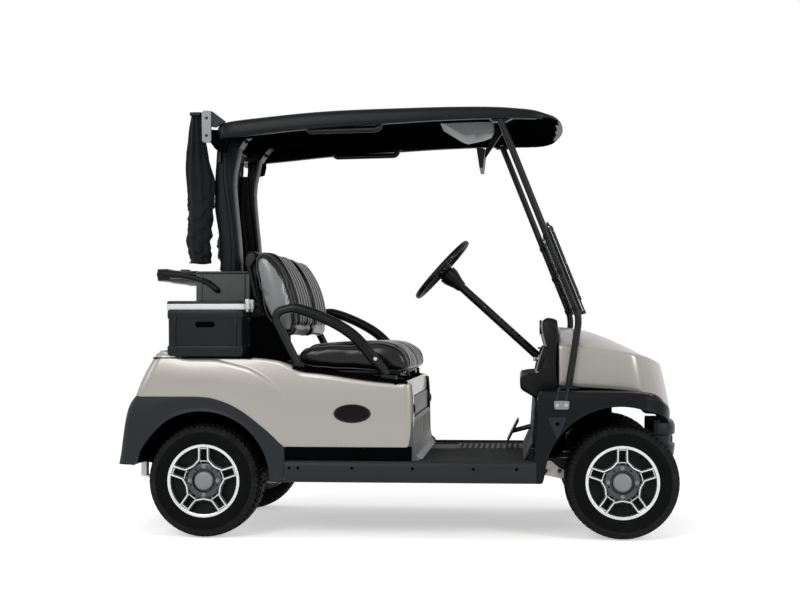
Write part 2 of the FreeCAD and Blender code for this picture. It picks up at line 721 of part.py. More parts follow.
def front_cowl():
    side = (
        ("cowl_rear_x", "cowl_low - 18", -2, -2), ("cowl_rear_x", "cowl_low + 258", -2, -1),
        ("cowl_rear_x + 130", "cowl_low + 233", 0, -1), ("cowl_rear_x + 441", "cowl_low + 86", -1, -0.6),
        ("cowl_rear_x + 462", "cowl_low - 44", -1, 0), ("half_length - 38", "472", -1, -2),
        ("half_length - 120", "472", 0, -2), ("half_length - 140", "cowl_low - 18", 0, -2),
    )
    end = (
        ("-cowl_half", "440", 1, -2), ("-cowl_half", "748", 1, -0.5), ("-cowl_half + 130", "805", 0.2, -1),
        ("-130", "850", 0, -1), ("130", "850", 0, -1), ("cowl_half - 130", "805", -0.2, -1),
        ("cowl_half", "748", -1, -0.5), ("cowl_half", "440", -1, -2),
    )
    return sub_part(shelled("front_cowl", side, right_and_left(COWL_PLAN), end, "skin"), "front_cowl")


front_cowl()


def front_fenders():
    outer = "half_width - 12"
    corners = (
        ("sill_x_front", "sill_low + 2"), ("sill_x_front", "sill_high + 20"), ("sill_x_front - 4", "433"),
        ("sill_x_front + 12", "cowl_low - 9"), (FRONT_X + " + 85", "cowl_low - 9"),
        (FRONT_X + " + 150", "540"),
        (FRONT_X + " + 172", "484"), (FRONT_X + " + 60", "474"), (FRONT_X + " - 190", "400"),
        (FRONT_X + " - 255", "sill_high"), ("sill_x_front + 44", "sill_low + 20"),
        ("sill_x_front + 20", "sill_low + 2"),
    )
    body = new_body("front_fender_wall")
    pad(body, outline(body, "XZ_Plane", corners, outer + " - skin"), "skin")
    pocket(body, circles(body, "XZ_Plane", ((FRONT_ARCH_X, "tyre_radius + 12", "arch_front"),), outer), "200")
    lip = arch_lip("front_lip", FRONT_ARCH_X, "tyre_radius + 12", "arch_front", outer, "45", "sill_low + 60")
    past = block("lip_past", FRONT_X + " + 150", "-half_width - 20", "-200", "200", "200", "684")
    lip = less("front_lip_cut", lip, past)
    wide = "-half_width + 12"
    back = block("fender_back", "sill_x_front + 13", wide + " + 3", "sill_high", "skin",
                 "half_width - cowl_half - 15 - seat_gap", "cowl_low - sill_high - 10")
    shelf = prism("fender_shelf", "XY_Plane", (
        ("sill_x_front + 13", wide + " + 3"), (FRONT_X + " + 85", wide + " + 3"),
        (FRONT_X + " + 154", wide + " + 36"),
        (FRONT_X + " + 188", wide + " + 118"), (FRONT_X + " + 196", wide + " + 258"),
        ("cowl_rear_x + 401", "-cowl_half + 120 - seat_gap"), ("cowl_rear_x + 291", "-cowl_half - seat_gap"),
        ("sill_x_front + 13", "-cowl_half - seat_gap"),
    ), "cowl_low - 14", "skin")
    nose = prism("fender_nose", "XY_Plane", (
        (FRONT_X + " + 85", wide), (FRONT_X + " + 156", wide + " + 33"), (FRONT_X + " + 193", wide + " + 116"),
        (FRONT_X + " + 201", wide + " + 258"), (FRONT_X + " + 196", wide + " + 258"),
        (FRONT_X + " + 188", wide + " + 118"), (FRONT_X + " + 154", wide + " + 37"),
        (FRONT_X + " + 85", wide + " + 5"),
    ), "484", "cowl_low - 493")
    trim = rod("nose_trim", (FRONT_ARCH_X, "-half_width - 20", "tyre_radius + 12"), LEFT, "arch_front",
               "half_width - 250")
    half = less("front_fender_half", joined("front_fender_solid", body, lip, shelf, nose, back), trim)
    return sub_part(both_sides("front_fenders", half), "front_fenders")


front_fenders()


def front_bumper():
    low = "rail_high + seat_gap"
    plan = right_and_left((
        ("half_length - 134", "-218", 1, 1), ("half_length - 60", "-218", 0, 1),
        ("half_length - 14", "-150", -1, 0.5),
        ("half_length", "-40", -1, 0),
    ))
    outer = prism("bumper_outer", "XY_Plane", outer_row(plan), low, "455 - rail_high - seat_gap")
    room = prism("bumper_room", "XY_Plane", inner_row(plan, "skin"), low + " - 10",
                 "460 - rail_high - seat_gap")
    return sub_part(less("front_bumper", outer, room), "front_bumper")


front_bumper()


def dashboard():
    face = (
        ("sill_x_front + 8", "dash_low", 0, 1), ("sill_x_front - 62", "dash_low + 6", 1, 1),
        ("sill_x_front - 65", "dash_low + 64", 1, -1), ("sill_x_front + 27", "dash_low + 64", 1, -1),
        ("sill_x_front + 36", "dash_low + 322", 1, -1),
        ("cowl_rear_x - seat_gap - 9", "dash_low + 328", 0, -1),
    )
    skin_sheet = folded("dash_face", face, "skin", "2*dash_half")
    end_corners = outer_row(face) + [("cowl_rear_x - seat_gap - 9", "cowl_low + 20"),
                                     ("sill_x_front + 8", "cowl_low + 20")]
    ends = [prism("dash_end_right", "XZ_Plane", end_corners, "dash_half - skin", "skin"),
            prism("dash_end_left", "XZ_Plane", end_corners, "-dash_half", "skin")]
    lip = block("dash_lip", "cowl_rear_x - seat_gap - 14", "-dash_half", "760", "14", "2*dash_half", "12")
    cups = []
    wells = []
    for i, y in enumerate(("-60", "60")):
        cups.append(rod("cup_%d" % i, ("sill_x_front - 15", y, "dash_low + 1"), UP, "cup_radius + 3", "60"))
        wells.append(rod("cup_well_%d" % i, ("sill_x_front - 15", y, "dash_low + 9"), UP, "cup_radius", "120"))
    bins = [block("bin_right", "sill_x_front - 55", "-dash_half + 25", "dash_low + 14", "72", "260", "200"),
            block("bin_left", "sill_x_front - 55", "dash_half - 285", "dash_low + 14", "72", "100", "200")]
    hole = rod("column_hole", ("wheel_hub_x", "wheel_hub_y", "wheel_hub_z"), COLUMN,
               "column_radius + seat_gap",
               "column_length + 60")
    solid = joined("dash_solid", skin_sheet, *ends, lip, *cups)
    return sub_part(less("dashboard", solid, *wells, *bins, hole), "dashboard")


COLUMN = FreeCAD.Vector(math.sin(math.radians(SIZES["column_tilt"])), 0,
                        -math.cos(math.radians(SIZES["column_tilt"])))
dashboard()


# a round piece along the steering axis; start and length are measured from the wheel's hub
def on_column(name, start, radius, length):
    bar = doc.addObject("Part::Cylinder", name)
    bind(bar, Radius=radius, Height=length)
    bar.Placement.Rotation = FreeCAD.Rotation(UP, COLUMN)
    for axis, part, base in (("x", "sin", "wheel_hub_x"), ("z", "-cos", "wheel_hub_z")):
        bar.setExpression("Placement.Base." + axis, "%s + (%s) * %s(Sizes.column_tilt * 1 deg)" % (
            formula(base), formula(start), part))
    bar.setExpression("Placement.Base.y", formula("wheel_hub_y"))
    return bar


def steering_column():
    jacket = on_column("jacket", "52", "column_radius", "column_length - 52")
    bore = on_column("jacket_bore", "40", "9 + running_fit", "82")
    return sub_part(less("steering_column", jacket, bore), "steering_column")


def steering_wheel():
    ring = doc.addObject("Part::Torus", "wheel_ring")
    bind(ring, Radius1="steering_radius", Radius2="grip_radius")
    ring.Placement.Rotation = FreeCAD.Rotation(UP, COLUMN)
    place(ring, "wheel_hub_x", "wheel_hub_y", "wheel_hub_z")
    hub = on_column("wheel_hub", "2", "38", "34")
    shaft = on_column("wheel_shaft", "30", "9", "88")
    spokes = []
    for i, turn in enumerate((-180, -90, 0)):
        spoke = doc.addObject("Part::Box", "wheel_spoke_%d" % i)
        bind(spoke, Length="steering_radius", Width="28", Height="10")
        lift = FreeCAD.Rotation(UP, COLUMN).multiply(FreeCAD.Rotation(UP, turn + 90))
        spoke.Placement = FreeCAD.Placement(FreeCAD.Vector(), lift)
        shift = lift.multVec(FreeCAD.Vector(0, -14, 4))
        for axis, base, offset in (("x", "wheel_hub_x", shift.x), ("y", "wheel_hub_y", shift.y),
                                   ("z", "wheel_hub_z", shift.z)):
            spoke.setExpression("Placement.Base." + axis, formula(base) + " + %g" % offset)
        spokes.append(spoke)
    return sub_part(joined("steering_wheel", ring, hub, shaft, *spokes), "steering_wheel")


steering_column()
steering_wheel()


def pedals():
    pieces = []
    # y of each pedal's pad, from its left edge
    for name, left in (("brake", "wheel_hub_y - 90"), ("throttle", "wheel_hub_y + 40")):
        plate = prism(name + "_plate", "XZ_Plane", (
            ("sill_x_front - 122", "345"), ("sill_x_front - 114", "340"), ("sill_x_front - 68", "430"),
            ("sill_x_front - 76", "435"),
        ), flip(left) + " - 86", "86")
        stem = prism(name + "_stem", "XZ_Plane", (
            ("sill_x_front - 102", "372"), ("sill_x_front - 17 - seat_gap", "394"),
            ("sill_x_front - 16.4", "408"),
            ("sill_x_front - 96", "386"),
        ), flip(left) + " - 52", "18")
        pieces.append(joined(name + "_pedal", plate, stem))
    return sub_part(grouped("pedals", *pieces), "pedals")


pedals()


# ---- roof and its posts ------------------------------------------------------------------------------

def front_struts():
    post = bent_bar("front_strut_bar", (
        ("strut_foot_x", "-strut_y", "strut_foot_z"), ("strut_knee_x", "-strut_y", "strut_knee_z"),
        ("strut_head_x", "-strut_y", "strut_head_z"),
    ), "strut_radius", "160")
    foot = block("strut_foot", "strut_foot_x - 40", "-strut_y - 20", "cowl_low - 9 + seat_gap", "80", "40",
                 "12")
    return sub_part(both_sides("front_struts", joined("front_strut", post, foot)), "front_struts")


front_struts()


POST_TOP = "roof_top - 141"


def rear_struts():
    x = "rear_axle_x"
    post = prism("rear_post", "XZ_Plane", (
        (x + " - 12", "deck_z + seat_gap"), (x + " + 88", "deck_z + seat_gap"), (x + " + 88", "1075"),
        (x + " + 78", "1150"), (x + " + 78", POST_TOP), (x + " - 12", POST_TOP),
        (x + " - 12", "1100"), (x + " - 30", "1060"), (x + " - 12", "990"),
    ), "rear_strut_y - 22", "44")
    head = block("rear_post_head", x + " + 20", "-rear_strut_y - 50", POST_TOP + " - 14", "66", "100", "14")
    return sub_part(both_sides("rear_struts", joined("rear_strut", post, head)), "rear_struts")


rear_struts()


def roof_canopy():
    side = (
        ("-765", "roof_top - 140", 1, -3), ("-765", "roof_top - 100", 1, -0.6),
        ("-711", "roof_top - 66", 0.3, -1),
        ("-569", "roof_top - 50", 0, -1), ("-390", "roof_top - 30", 0, -1), ("-100", "roof_top - 12", 0, -1),
        ("162", "roof_top - 4", 0, -1), ("400", "roof_top - 9", 0, -1), ("545", "roof_top - 15", 0, -1),
        ("620", "roof_top - 22", -0.3, -1), ("657", "roof_top - 40", -1, -0.5),
        ("670", "roof_top - 70", -1, -3),
        ("400", "roof_top - 67", 0, -3), ("160", "roof_top - 73", 0, -3), ("-86", "roof_top - 87", 0, -3),
        ("-377", "roof_top - 103", 0, -3), ("-613", "roof_top - 126", 0, -3),
    )
    plan = right_and_left((
        ("-765", "-roof_half + 45", 1, 0.5), ("-700", "-roof_half", 0.3, 1), ("520", "-roof_half", -0.2, 1),
        ("600", "-roof_half + 35", -0.7, 0.7), ("650", "-roof_half + 200", -1, 0.4),
        ("670", "-roof_half + 380", -1, 0),
    ))
    end = (
        ("-roof_half", "1400", 1, 0), ("-roof_half", "roof_top - 34", 1, -0.5),
        ("-roof_half + 22", "roof_top - 16", 0.5, -1), ("-200", "roof_top - 4", 0, -1),
        ("200", "roof_top - 4", 0, -1),
        ("roof_half - 22", "roof_top - 16", -0.5, -1), ("roof_half", "roof_top - 34", -1, -0.5),
        ("roof_half", "1400", -1, 0),
    )
    shell = shelled("roof", side, plan, end, "roof_wall")
    # the moulded boss beside the head of each front strut, and the pad over each rear post
    boss = overlap("roof_boss", doc.getObject("roof_outer"), prism("roof_boss_solid", "XZ_Plane", (
        ("strut_head_x - 40", "roof_top - 64"), ("strut_head_x + 90", "roof_top - 64"),
        ("strut_head_x + 90", "roof_top"),
        ("strut_head_x - 40", "roof_top"),
    ), "strut_y + strut_radius + seat_gap", "roof_half - strut_y - strut_radius"))
    pad = prism("roof_pad", "XZ_Plane", (
        ("-757", POST_TOP + " + seat_gap"), ("-692", POST_TOP + " + seat_gap"), ("-692", "roof_top - 66"),
        ("-711", "roof_top - 69"), ("-757", "roof_top - 98"),
    ), "rear_strut_y - 50", "100")
    return sub_part(joined("roof_canopy", shell, boss, mirrored(boss), pad, mirrored(pad)), "roof_canopy")


roof_canopy()


def grab_handles():
    bar = bent_bar("grab_bar", (
        ("-388", "-roof_half + 34", "roof_top - 72"), ("-376", "-roof_half + 34", "roof_top - 107"),
        ("-90", "-roof_half + 34", "roof_top - 102"), ("-77", "-roof_half + 34", "roof_top - 66"),
    ), "12", "20")
    pads = [block("grab_pad_%d" % i, x, "-roof_half + roof_wall + seat_gap", z, "44", "44", "26")
            for i, (x, z) in enumerate((("-411", "roof_top - 86"), ("-99", "roof_top - 80")))]
    return sub_part(both_sides("grab_handles", joined("grab_handle", bar, *pads)), "grab_handles")


grab_handles()


def mirror():
    glass = prism("mirror_case", "XZ_Plane", (
        ("300", "roof_top - 140"), ("337", "roof_top - 146"), ("328", "roof_top - 228"),
        ("313", "roof_top - 228"),
    ), "0", "250", True)
    stem = prism("mirror_stem", "XZ_Plane", (
        ("328", "roof_top - 152"), ("334", "roof_top - 176"), ("412", "roof_top - 60"),
        ("412", "roof_top - 15"),
        ("376", "roof_top - 14"), ("376", "roof_top - 60"),
    ), "0", "28", True)
    return sub_part(joined("mirror", glass, stem), "mirror")


mirror()


# ---- windshield --------------------------------------------------------------------------------------------

LEAN = math.atan2(SIZES["strut_knee_x"] - SIZES["strut_head_x"], SIZES["strut_head_z"] - SIZES["strut_knee_z"])
LEAN_TEXT = "atan((Sizes.strut_knee_x - Sizes.strut_head_x) / (Sizes.strut_head_z - Sizes.strut_knee_z))"


# leans with the front struts; along runs up the strut from its knee, off stands forward of its centre line
def on_strut(piece, along, across, off):
    piece.Placement.Rotation = FreeCAD.Rotation(LEFT, -math.degrees(LEAN))
    for axis, base, up_part, off_part in (("x", "strut_knee_x", "-sin", "cos"),
                                          ("z", "strut_knee_z", "cos", "sin")):
        piece.setExpression("Placement.Base." + axis, "%s + (%s) * %s(%s) + (%s) * %s(%s)" % (
            formula(base), formula(along), up_part, LEAN_TEXT, formula(off), off_part, LEAN_TEXT))
    piece.setExpression("Placement.Base.y", formula(across))
    return piece


def pane(name, along, length, off):
    sheet_block = doc.addObject("Part::Box", name)
    bind(sheet_block, Length="pane_wall", Width="2*pane_half", Height=length)
    return on_strut(sheet_block, along, "-pane_half", off)


HINGE_ALONG = "hinge_along"
HINGE_OFF = "strut_radius + seat_gap + pane_wall + 0.5*pane_gap"


def windshield_lower():
    glass = pane("lower_glass", "16", "hinge_along - hinge_radius - 22", "strut_radius + seat_gap")
    pieces = [glass]
    for i, y in enumerate(("-pane_half + 20", "pane_half - 74")):
        tab = doc.addObject("Part::Box", "hinge_tab_%d" % i)
        bind(tab, Length="pane_wall + 0.5*pane_gap + 2", Width="16", Height="30")
        pieces.append(on_strut(tab, "hinge_along - 26", y, "strut_radius + seat_gap"))
        far = doc.addObject("Part::Box", "hinge_tab_far_%d" % i)
        bind(far, Length="pane_wall + 0.5*pane_gap + 2", Width="16", Height="30")
        pieces.append(on_strut(far, "hinge_along - 26", y + " + 38", "strut_radius + seat_gap"))
        pin = doc.addObject("Part::Cylinder", "hinge_pin_%d" % i)
        bind(pin, Radius="hinge_radius - 1", Height="54")
        on_strut(pin, HINGE_ALONG, y, HINGE_OFF)
        pin.Placement.Rotation = FreeCAD.Rotation(UP, LEFT)
        pieces.append(pin)
    return sub_part(joined("windshield_lower", *pieces), "windshield_lower")


def windshield_upper():
    glass = pane("upper_glass", "hinge_along - pane_length", "pane_length - hinge_radius - 8",
                 "strut_radius + seat_gap + pane_wall + pane_gap")
    pieces = [glass]
    bores = []
    for i, y in enumerate(("-pane_half + 37", "pane_half - 57")):
        leaf = doc.addObject("Part::Box", "hinge_leaf_%d" % i)
        bind(leaf, Length="pane_wall + 0.5*pane_gap", Width="20", Height="34")
        pieces.append(on_strut(leaf, "hinge_along - 34", y, HINGE_OFF))
        for kind, radius, wide, start in (("barrel", "hinge_radius + 2", "20", y),
                                          ("bore", "hinge_radius - 1 + running_fit", "60", y + " - 20")):
            ring = doc.addObject("Part::Cylinder", "hinge_%s_%d" % (kind, i))
            bind(ring, Radius=radius, Height=wide)
            on_strut(ring, HINGE_ALONG, start, HINGE_OFF)
            ring.Placement.Rotation = FreeCAD.Rotation(UP, LEFT)
            (pieces if kind == "barrel" else bores).append(ring)
    return sub_part(less("windshield_upper", joined("upper_solid", *pieces), *bores), "windshield_upper")


windshield_lower()
windshield_upper()


# ---- seat --------------------------------------------------------------------------------------------------

LID_X, LID_Z = "seat_base_x - 36", "641"


def seat_base():
    top = (("seat_base_x - 476", "688"), ("seat_base_x - 18", "628"), ("seat_base_x - 18", "616.5"),
           ("seat_base_x - 476", "676"))
    frame = prism("seat_frame", "XZ_Plane", top, "0", "2*half_width - 4*skin - 6*seat_gap", True)
    room = block("battery_room", "seat_base_x - 440", "-400", "550", "390", "800", "200")
    solid = [less("seat_ring", frame, room)]
    for i, y in enumerate(("-322", "282")):
        for j, step in enumerate(("0", "26")):
            lug = "%s + %s" % (y, step)
            solid.append(block("lid_lug_%d%d" % (i, j), "seat_base_x - 43", lug, "622", "14", "14", "19"))
            solid.append(rod("lid_eye_%d%d" % (i, j), (LID_X, lug, LID_Z), LEFT, "6", "14"))
        solid.append(rod("lid_pin_%d" % i, (LID_X, y, LID_Z), LEFT, "3", "40"))
    legs = block("seat_leg", "seat_base_x - 70", "-half_width + 2*skin + 3*seat_gap",
                 "rail_high + 255 + 2*seat_gap",
                 "10", "2*half_width - 4*skin - 6*seat_gap", "72")
    return sub_part(joined("seat_base", legs, *solid), "seat_base")


def seat_bottom():
    cushion = prism("seat_cushion", "XZ_Plane", (
        ("seat_base_x - 473", "688.2"), ("seat_base_x - 473", "seat_high - 56"),
        ("seat_base_x - 440", "seat_high - 20"),
        ("seat_base_x - 163", "seat_high"), ("seat_base_x - 78", "seat_high - 4"),
        ("seat_base_x - 33", "seat_high - 26"),
        ("seat_base_x - 20", "seat_high - 70"), ("seat_base_x - 24", "662"), ("seat_base_x - 30", "652"),
        ("seat_base_x - 52", "652"), ("seat_base_x - 66", "635.2"),
    ), "0", "2*seat_half", True)
    solid = [cushion]
    bores = []
    for i, y in enumerate(("-307.5", "296.5")):
        solid.append(block("lid_leaf_%d" % i, LID_X + " - 6", y, LID_Z, "12", "11", "24"))
        solid.append(rod("lid_barrel_%d" % i, (LID_X, y, LID_Z), LEFT, "6", "11"))
        bores.append(rod("lid_bore_%d" % i, (LID_X, y + " - 5", LID_Z), LEFT, "3 + running_fit", "21"))
    return sub_part(less("seat_bottom", joined("seat_solid", *solid), *bores), "seat_bottom")


seat_base()
seat_bottom()

BACK_LINE = (("-530", "872"), ("-574", "964"), ("-600", "1110"))


def seat_backs():
    cushion = prism("back_cushion", "XZ_Plane", (
        ("-415", "back_low + 6"), ("-448", "back_low"), BACK_LINE[0], BACK_LINE[1], BACK_LINE[2],
        ("-584", "back_high - 8"), ("-550", "back_high"), ("-507", "back_high - 36"), ("-474", "1004"),
        ("-437", "880"),
    ), "8", "seat_half - 8")
    return sub_part(both_sides("seat_backs", cushion), "seat_backs")


def seat_back_frame():
    plate = prism("back_plate", "XZ_Plane", tuple((x + " - seat_gap", z) for x, z in BACK_LINE[:2]) + (
        ("-599 - seat_gap", "1104"), ("-611", "1104"), ("-586", "966"), ("-542", "872"),
    ), "0", "880", True)
    arms = [block("back_arm_%d" % i, "rear_axle_x + 88 + seat_gap", y, "880", "130", "44", "45")
            for i, y in enumerate(("-rear_strut_y - 22", "rear_strut_y - 22"))]
    cutter = prism("arm_trim", "XZ_Plane", (
        ("-570", "800"), ("-500", "800"), ("-500", "1000"), ("-592", "1000"), ("-574 - seat_gap", "964"),
        ("-535", "880"),
    ), "0", "1200", True)
    arms = [less("arm_%d" % i, arm, cutter) for i, arm in enumerate(arms)]
    return sub_part(joined("seat_back_frame", plate, *arms), "seat_back_frame")


seat_backs()
seat_back_frame()


def hip_restraints():
    bar = bent_bar("hip_bar", [("seat_base_x %s" % x, "-half_width + 50", z) for x, z in (
        ("- 462", "697"), ("- 566", "900"), ("- 480", "922"), ("- 358", "882"), ("- 230", "807"),
        ("- 154", "722"),
        ("- 101", "652"))], "17", "34")
    feet = [prism(name, "XZ_Plane", [("seat_base_x %s" % x, z) for x, z in corners], "half_width - 70", "40")
            for name, corners in (
        ("hip_foot_rear", (("- 474", "688.2"), ("- 432", "682.7"), ("- 432", "700"), ("- 474", "700"))),
        ("hip_foot_front", (("- 124", "642.4"), ("- 64", "634.5"), ("- 64", "650"), ("- 124", "654"))))]
    return sub_part(both_sides("hip_restraints", joined("hip_restraint", bar, *feet)), "hip_restraints")


hip_restraints()


# ---- luggage -----------------------------------------------------------------------------------------------

def sweater_basket():
    x = "rear_axle_x - 87"
    solid = block("basket_outer", x, "-330", "940", "225", "660", "135")
    room = block("basket_room", x + " + 6", "-324", "946", "213", "648", "200")
    posts = [block("basket_slot_%d" % i, "rear_axle_x - 30 - seat_gap", y + " - 22 - seat_gap", "900",
                   "118 + 2*seat_gap", "44 + 2*seat_gap", "300")
             for i, y in enumerate(("-rear_strut_y", "rear_strut_y"))]
    return sub_part(less("sweater_basket", solid, room, *posts), "sweater_basket")


def bag_rack():
    x = "rear_axle_x - 87 - seat_gap"
    bar = bent_bar("rack_bar", (
        (x, "-rack_y", "rack_z"), ("rack_x", "-rack_y", "rack_z"), ("rack_x", "rack_y", "rack_z"),
        (x, "rack_y", "rack_z"),
    ), "17", "70")
    middle = block("rack_middle", "rack_x", "-12", "rack_z - 9", "-1*rack_x + rear_axle_x - 87 - seat_gap",
                   "24", "18")
    return sub_part(joined("bag_rack", bar, middle), "bag_rack")


sweater_basket()
bag_rack()

COOLER_X = "rear_axle_x - 137"
COOLER_Y = "-half_width + 11"


def cooler():
    outer = block("cooler_outer", COOLER_X, COOLER_Y, "deck_z + seat_gap", "cooler_length", "cooler_width",
                  "cooler_high - deck_z - seat_gap")
    room = block("cooler_room", COOLER_X + " + cooler_wall", COOLER_Y + " + cooler_wall",
                 "deck_z + cooler_wall",
                 "cooler_length - 2*cooler_wall", "cooler_width - 2*cooler_wall", "300")
    axis = (COOLER_X + " - 8", COOLER_Y, "cooler_high")
    lugs = []
    leaves = []
    bores = []
    for i, y in enumerate(("30", "cooler_width - 60")):
        at = (axis[0], COOLER_Y + " + " + y, axis[2])
        for j, step in enumerate(("0", "22")):
            spot = at[1] + " + " + step
            lugs.append(rod("cooler_eye_%d%d" % (i, j), (at[0], spot, at[2]), LEFT, "5", "8"))
            lugs.append(block("cooler_lug_%d%d" % (i, j), at[0] + " - 5", spot, "cooler_high - 20", "13",
                              "8", "20"))
        lugs.append(rod("cooler_pin_%d" % i, at, LEFT, "2.5", "30"))
        start = at[1] + " + 8.5"
        leaves.append(rod("lid_knuckle_%d" % i, (at[0], start, at[2]), LEFT, "5", "13"))
        leaves.append(block("lid_strap_%d" % i, at[0] + " - 5", start, "cooler_high", "15", "13", "12"))
        bores.append(rod("knuckle_bore_%d" % i, (at[0], start + " - 3", at[2]), LEFT, "2.5 + running_fit",
                         "19"))
    box = joined("cooler_box", less("cooler_shell", outer, room), *lugs)
    sub_part(box, "cooler_box")
    plate = block("lid_plate", COOLER_X + " + 1", COOLER_Y, "cooler_high + seat_gap", "cooler_length - 1",
                  "cooler_width", "20")
    sub_part(less("cooler_lid", joined("lid_solid", plate, *leaves), *bores), "cooler_lid")


cooler()


def bag_covers():
    drape = prism("bag_cover_side", "XY_Plane", (
        ("rear_axle_x - 12 - seat_gap", "-cover_y - 62", "6"),
        ("rear_axle_x - 12 - seat_gap", "-cover_y + 62", "6"),
        ("rear_axle_x - 136", "-cover_y + 62", "14"), ("rear_axle_x - 136", "-cover_y - 62", "14"),
    ), "cover_low", "roof_top - 11 - cover_low")
    return sub_part(both_sides("bag_covers", drape), "bag_covers")


bag_covers()

# ---- check and export ----------------------------------------------------------------------------------------

doc.recompute()
for thing in doc.Objects:
    if any(word in thing.State for word in ("Invalid", "Error")):
        raise RuntimeError("%s did not rebuild: %s" % (thing.Name, thing.State))
os.makedirs("parts", exist_ok=True)
for label, thing in finished:
    shape = thing.Shape
    if shape.isNull() or not shape.isValid() or not shape.Solids:
        raise RuntimeError(label + " is not a valid solid")
    shape.exportStep("parts/%s.step" % label)
    box = shape.BoundBox
    print("%-18s %2d  x %6.0f %6.0f  y %6.0f %6.0f  z %6.0f %6.0f  vol %.2f L" % (
        label, len(shape.Solids), box.XMin, box.XMax, box.YMin, box.YMax, box.ZMin, box.ZMax,
        shape.Volume / 1e6))
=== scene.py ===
import bpy, bmesh
from math import copysign, cos, exp, hypot, pi, radians, sin
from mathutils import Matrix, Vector, noise
from mathutils.bvhtree import BVHTree


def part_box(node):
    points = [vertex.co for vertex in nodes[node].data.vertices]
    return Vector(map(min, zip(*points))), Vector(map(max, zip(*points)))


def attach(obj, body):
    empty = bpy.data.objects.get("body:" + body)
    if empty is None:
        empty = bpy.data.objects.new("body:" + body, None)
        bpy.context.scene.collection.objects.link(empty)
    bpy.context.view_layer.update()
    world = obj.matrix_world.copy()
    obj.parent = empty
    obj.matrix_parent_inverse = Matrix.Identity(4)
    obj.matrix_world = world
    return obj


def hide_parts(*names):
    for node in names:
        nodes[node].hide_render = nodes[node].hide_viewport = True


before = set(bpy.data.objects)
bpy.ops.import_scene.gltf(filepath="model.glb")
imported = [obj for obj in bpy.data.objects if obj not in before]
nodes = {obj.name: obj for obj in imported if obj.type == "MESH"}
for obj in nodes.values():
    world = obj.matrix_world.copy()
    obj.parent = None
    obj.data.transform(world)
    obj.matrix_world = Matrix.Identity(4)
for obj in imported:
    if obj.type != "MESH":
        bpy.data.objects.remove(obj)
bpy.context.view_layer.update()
scene = bpy.context.scene
scene.view_settings.view_transform = "Standard"
print("frame loaded:", len(nodes), "nodes")


# camera, floor and light

view = {"place": (0.479, -6.41, 0.807), "turnDegrees": 4.6, "tiltDegrees": 1.4, "lens": 66.4}
studio = {
    "worldStrength": 0.6,
    "floorReach": 40,
    "floorColour": (0.86, 0.86, 0.86),
    "floorLift": 0.49,  # added where the camera sees the floor, which stays white round the shadow
    "lamps": [  # name, place, looks at, size, watts, colour
        ("keySoftbox", (-1.6, -5.2, 3.3), (-0.3, 0, 0.7), 2.0, 115, (1.0, 0.99, 0.97)),
        ("sideSoftbox", (3.9, -3.6, 2.3), (0.6, 0, 0.6), 1.6, 85, (1.0, 0.99, 0.97)),
        ("topSoftbox", (-0.3, 0.3, 4.6), (-0.1, 0, 0.6), 3.4, 20, (1.0, 1.0, 1.0)),
        ("rearSoftbox", (-4.4, -1.8, 2.4), (-0.6, 0, 0.7), 1.6, 32, (0.97, 0.985, 1.0)),
    ],
}

cameraData = bpy.data.cameras.new("viewCamera")
cameraData.lens = view["lens"]
cameraData.sensor_width = 36
camera = bpy.data.objects.new("viewCamera", cameraData)
camera.location = view["place"]
camera.rotation_euler = (radians(90 + view["tiltDegrees"]), 0, radians(view["turnDegrees"]))
scene.collection.objects.link(camera)
scene.camera = camera


def addLamp(name, place, target, size, watts, colour):
    lampData = bpy.data.lights.new(name, "AREA")
    lampData.shape = "SQUARE"
    lampData.size = size
    lampData.energy = watts
    lampData.color = colour
    lamp = bpy.data.objects.new(name, lampData)
    lamp.location = place
    lamp.rotation_euler = (Vector(target) - Vector(place)).to_track_quat("-Z", "Y").to_euler()
    scene.collection.objects.link(lamp)


def feed(tree, node, inputs):
    # each input takes a value, or a socket that it is linked to
    for name, value in inputs.items():
        if isinstance(value, bpy.types.NodeSocket):
            tree.links.new(value, node.inputs[name])
        else:
            node.inputs[name].default_value = value
    return node


def addNode(tree, kind, inputs, **settings):
    node = tree.nodes.new("ShaderNode" + kind)
    for name, value in settings.items():
        setattr(node, name, value)
    return feed(tree, node, inputs)


def seenDirectly(tree):
    # 1 for rays from the camera and for rays that mirror or pass through something, else 0
    path = addNode(tree, "LightPath", {}).outputs
    first = addNode(tree, "Math", {0: path["Is Camera Ray"], 1: path["Is Glossy Ray"]}, operation="MAXIMUM")
    return addNode(tree, "Math", {0: first.outputs[0], 1: path["Is Transmission Ray"]},
        operation="MAXIMUM").outputs[0]


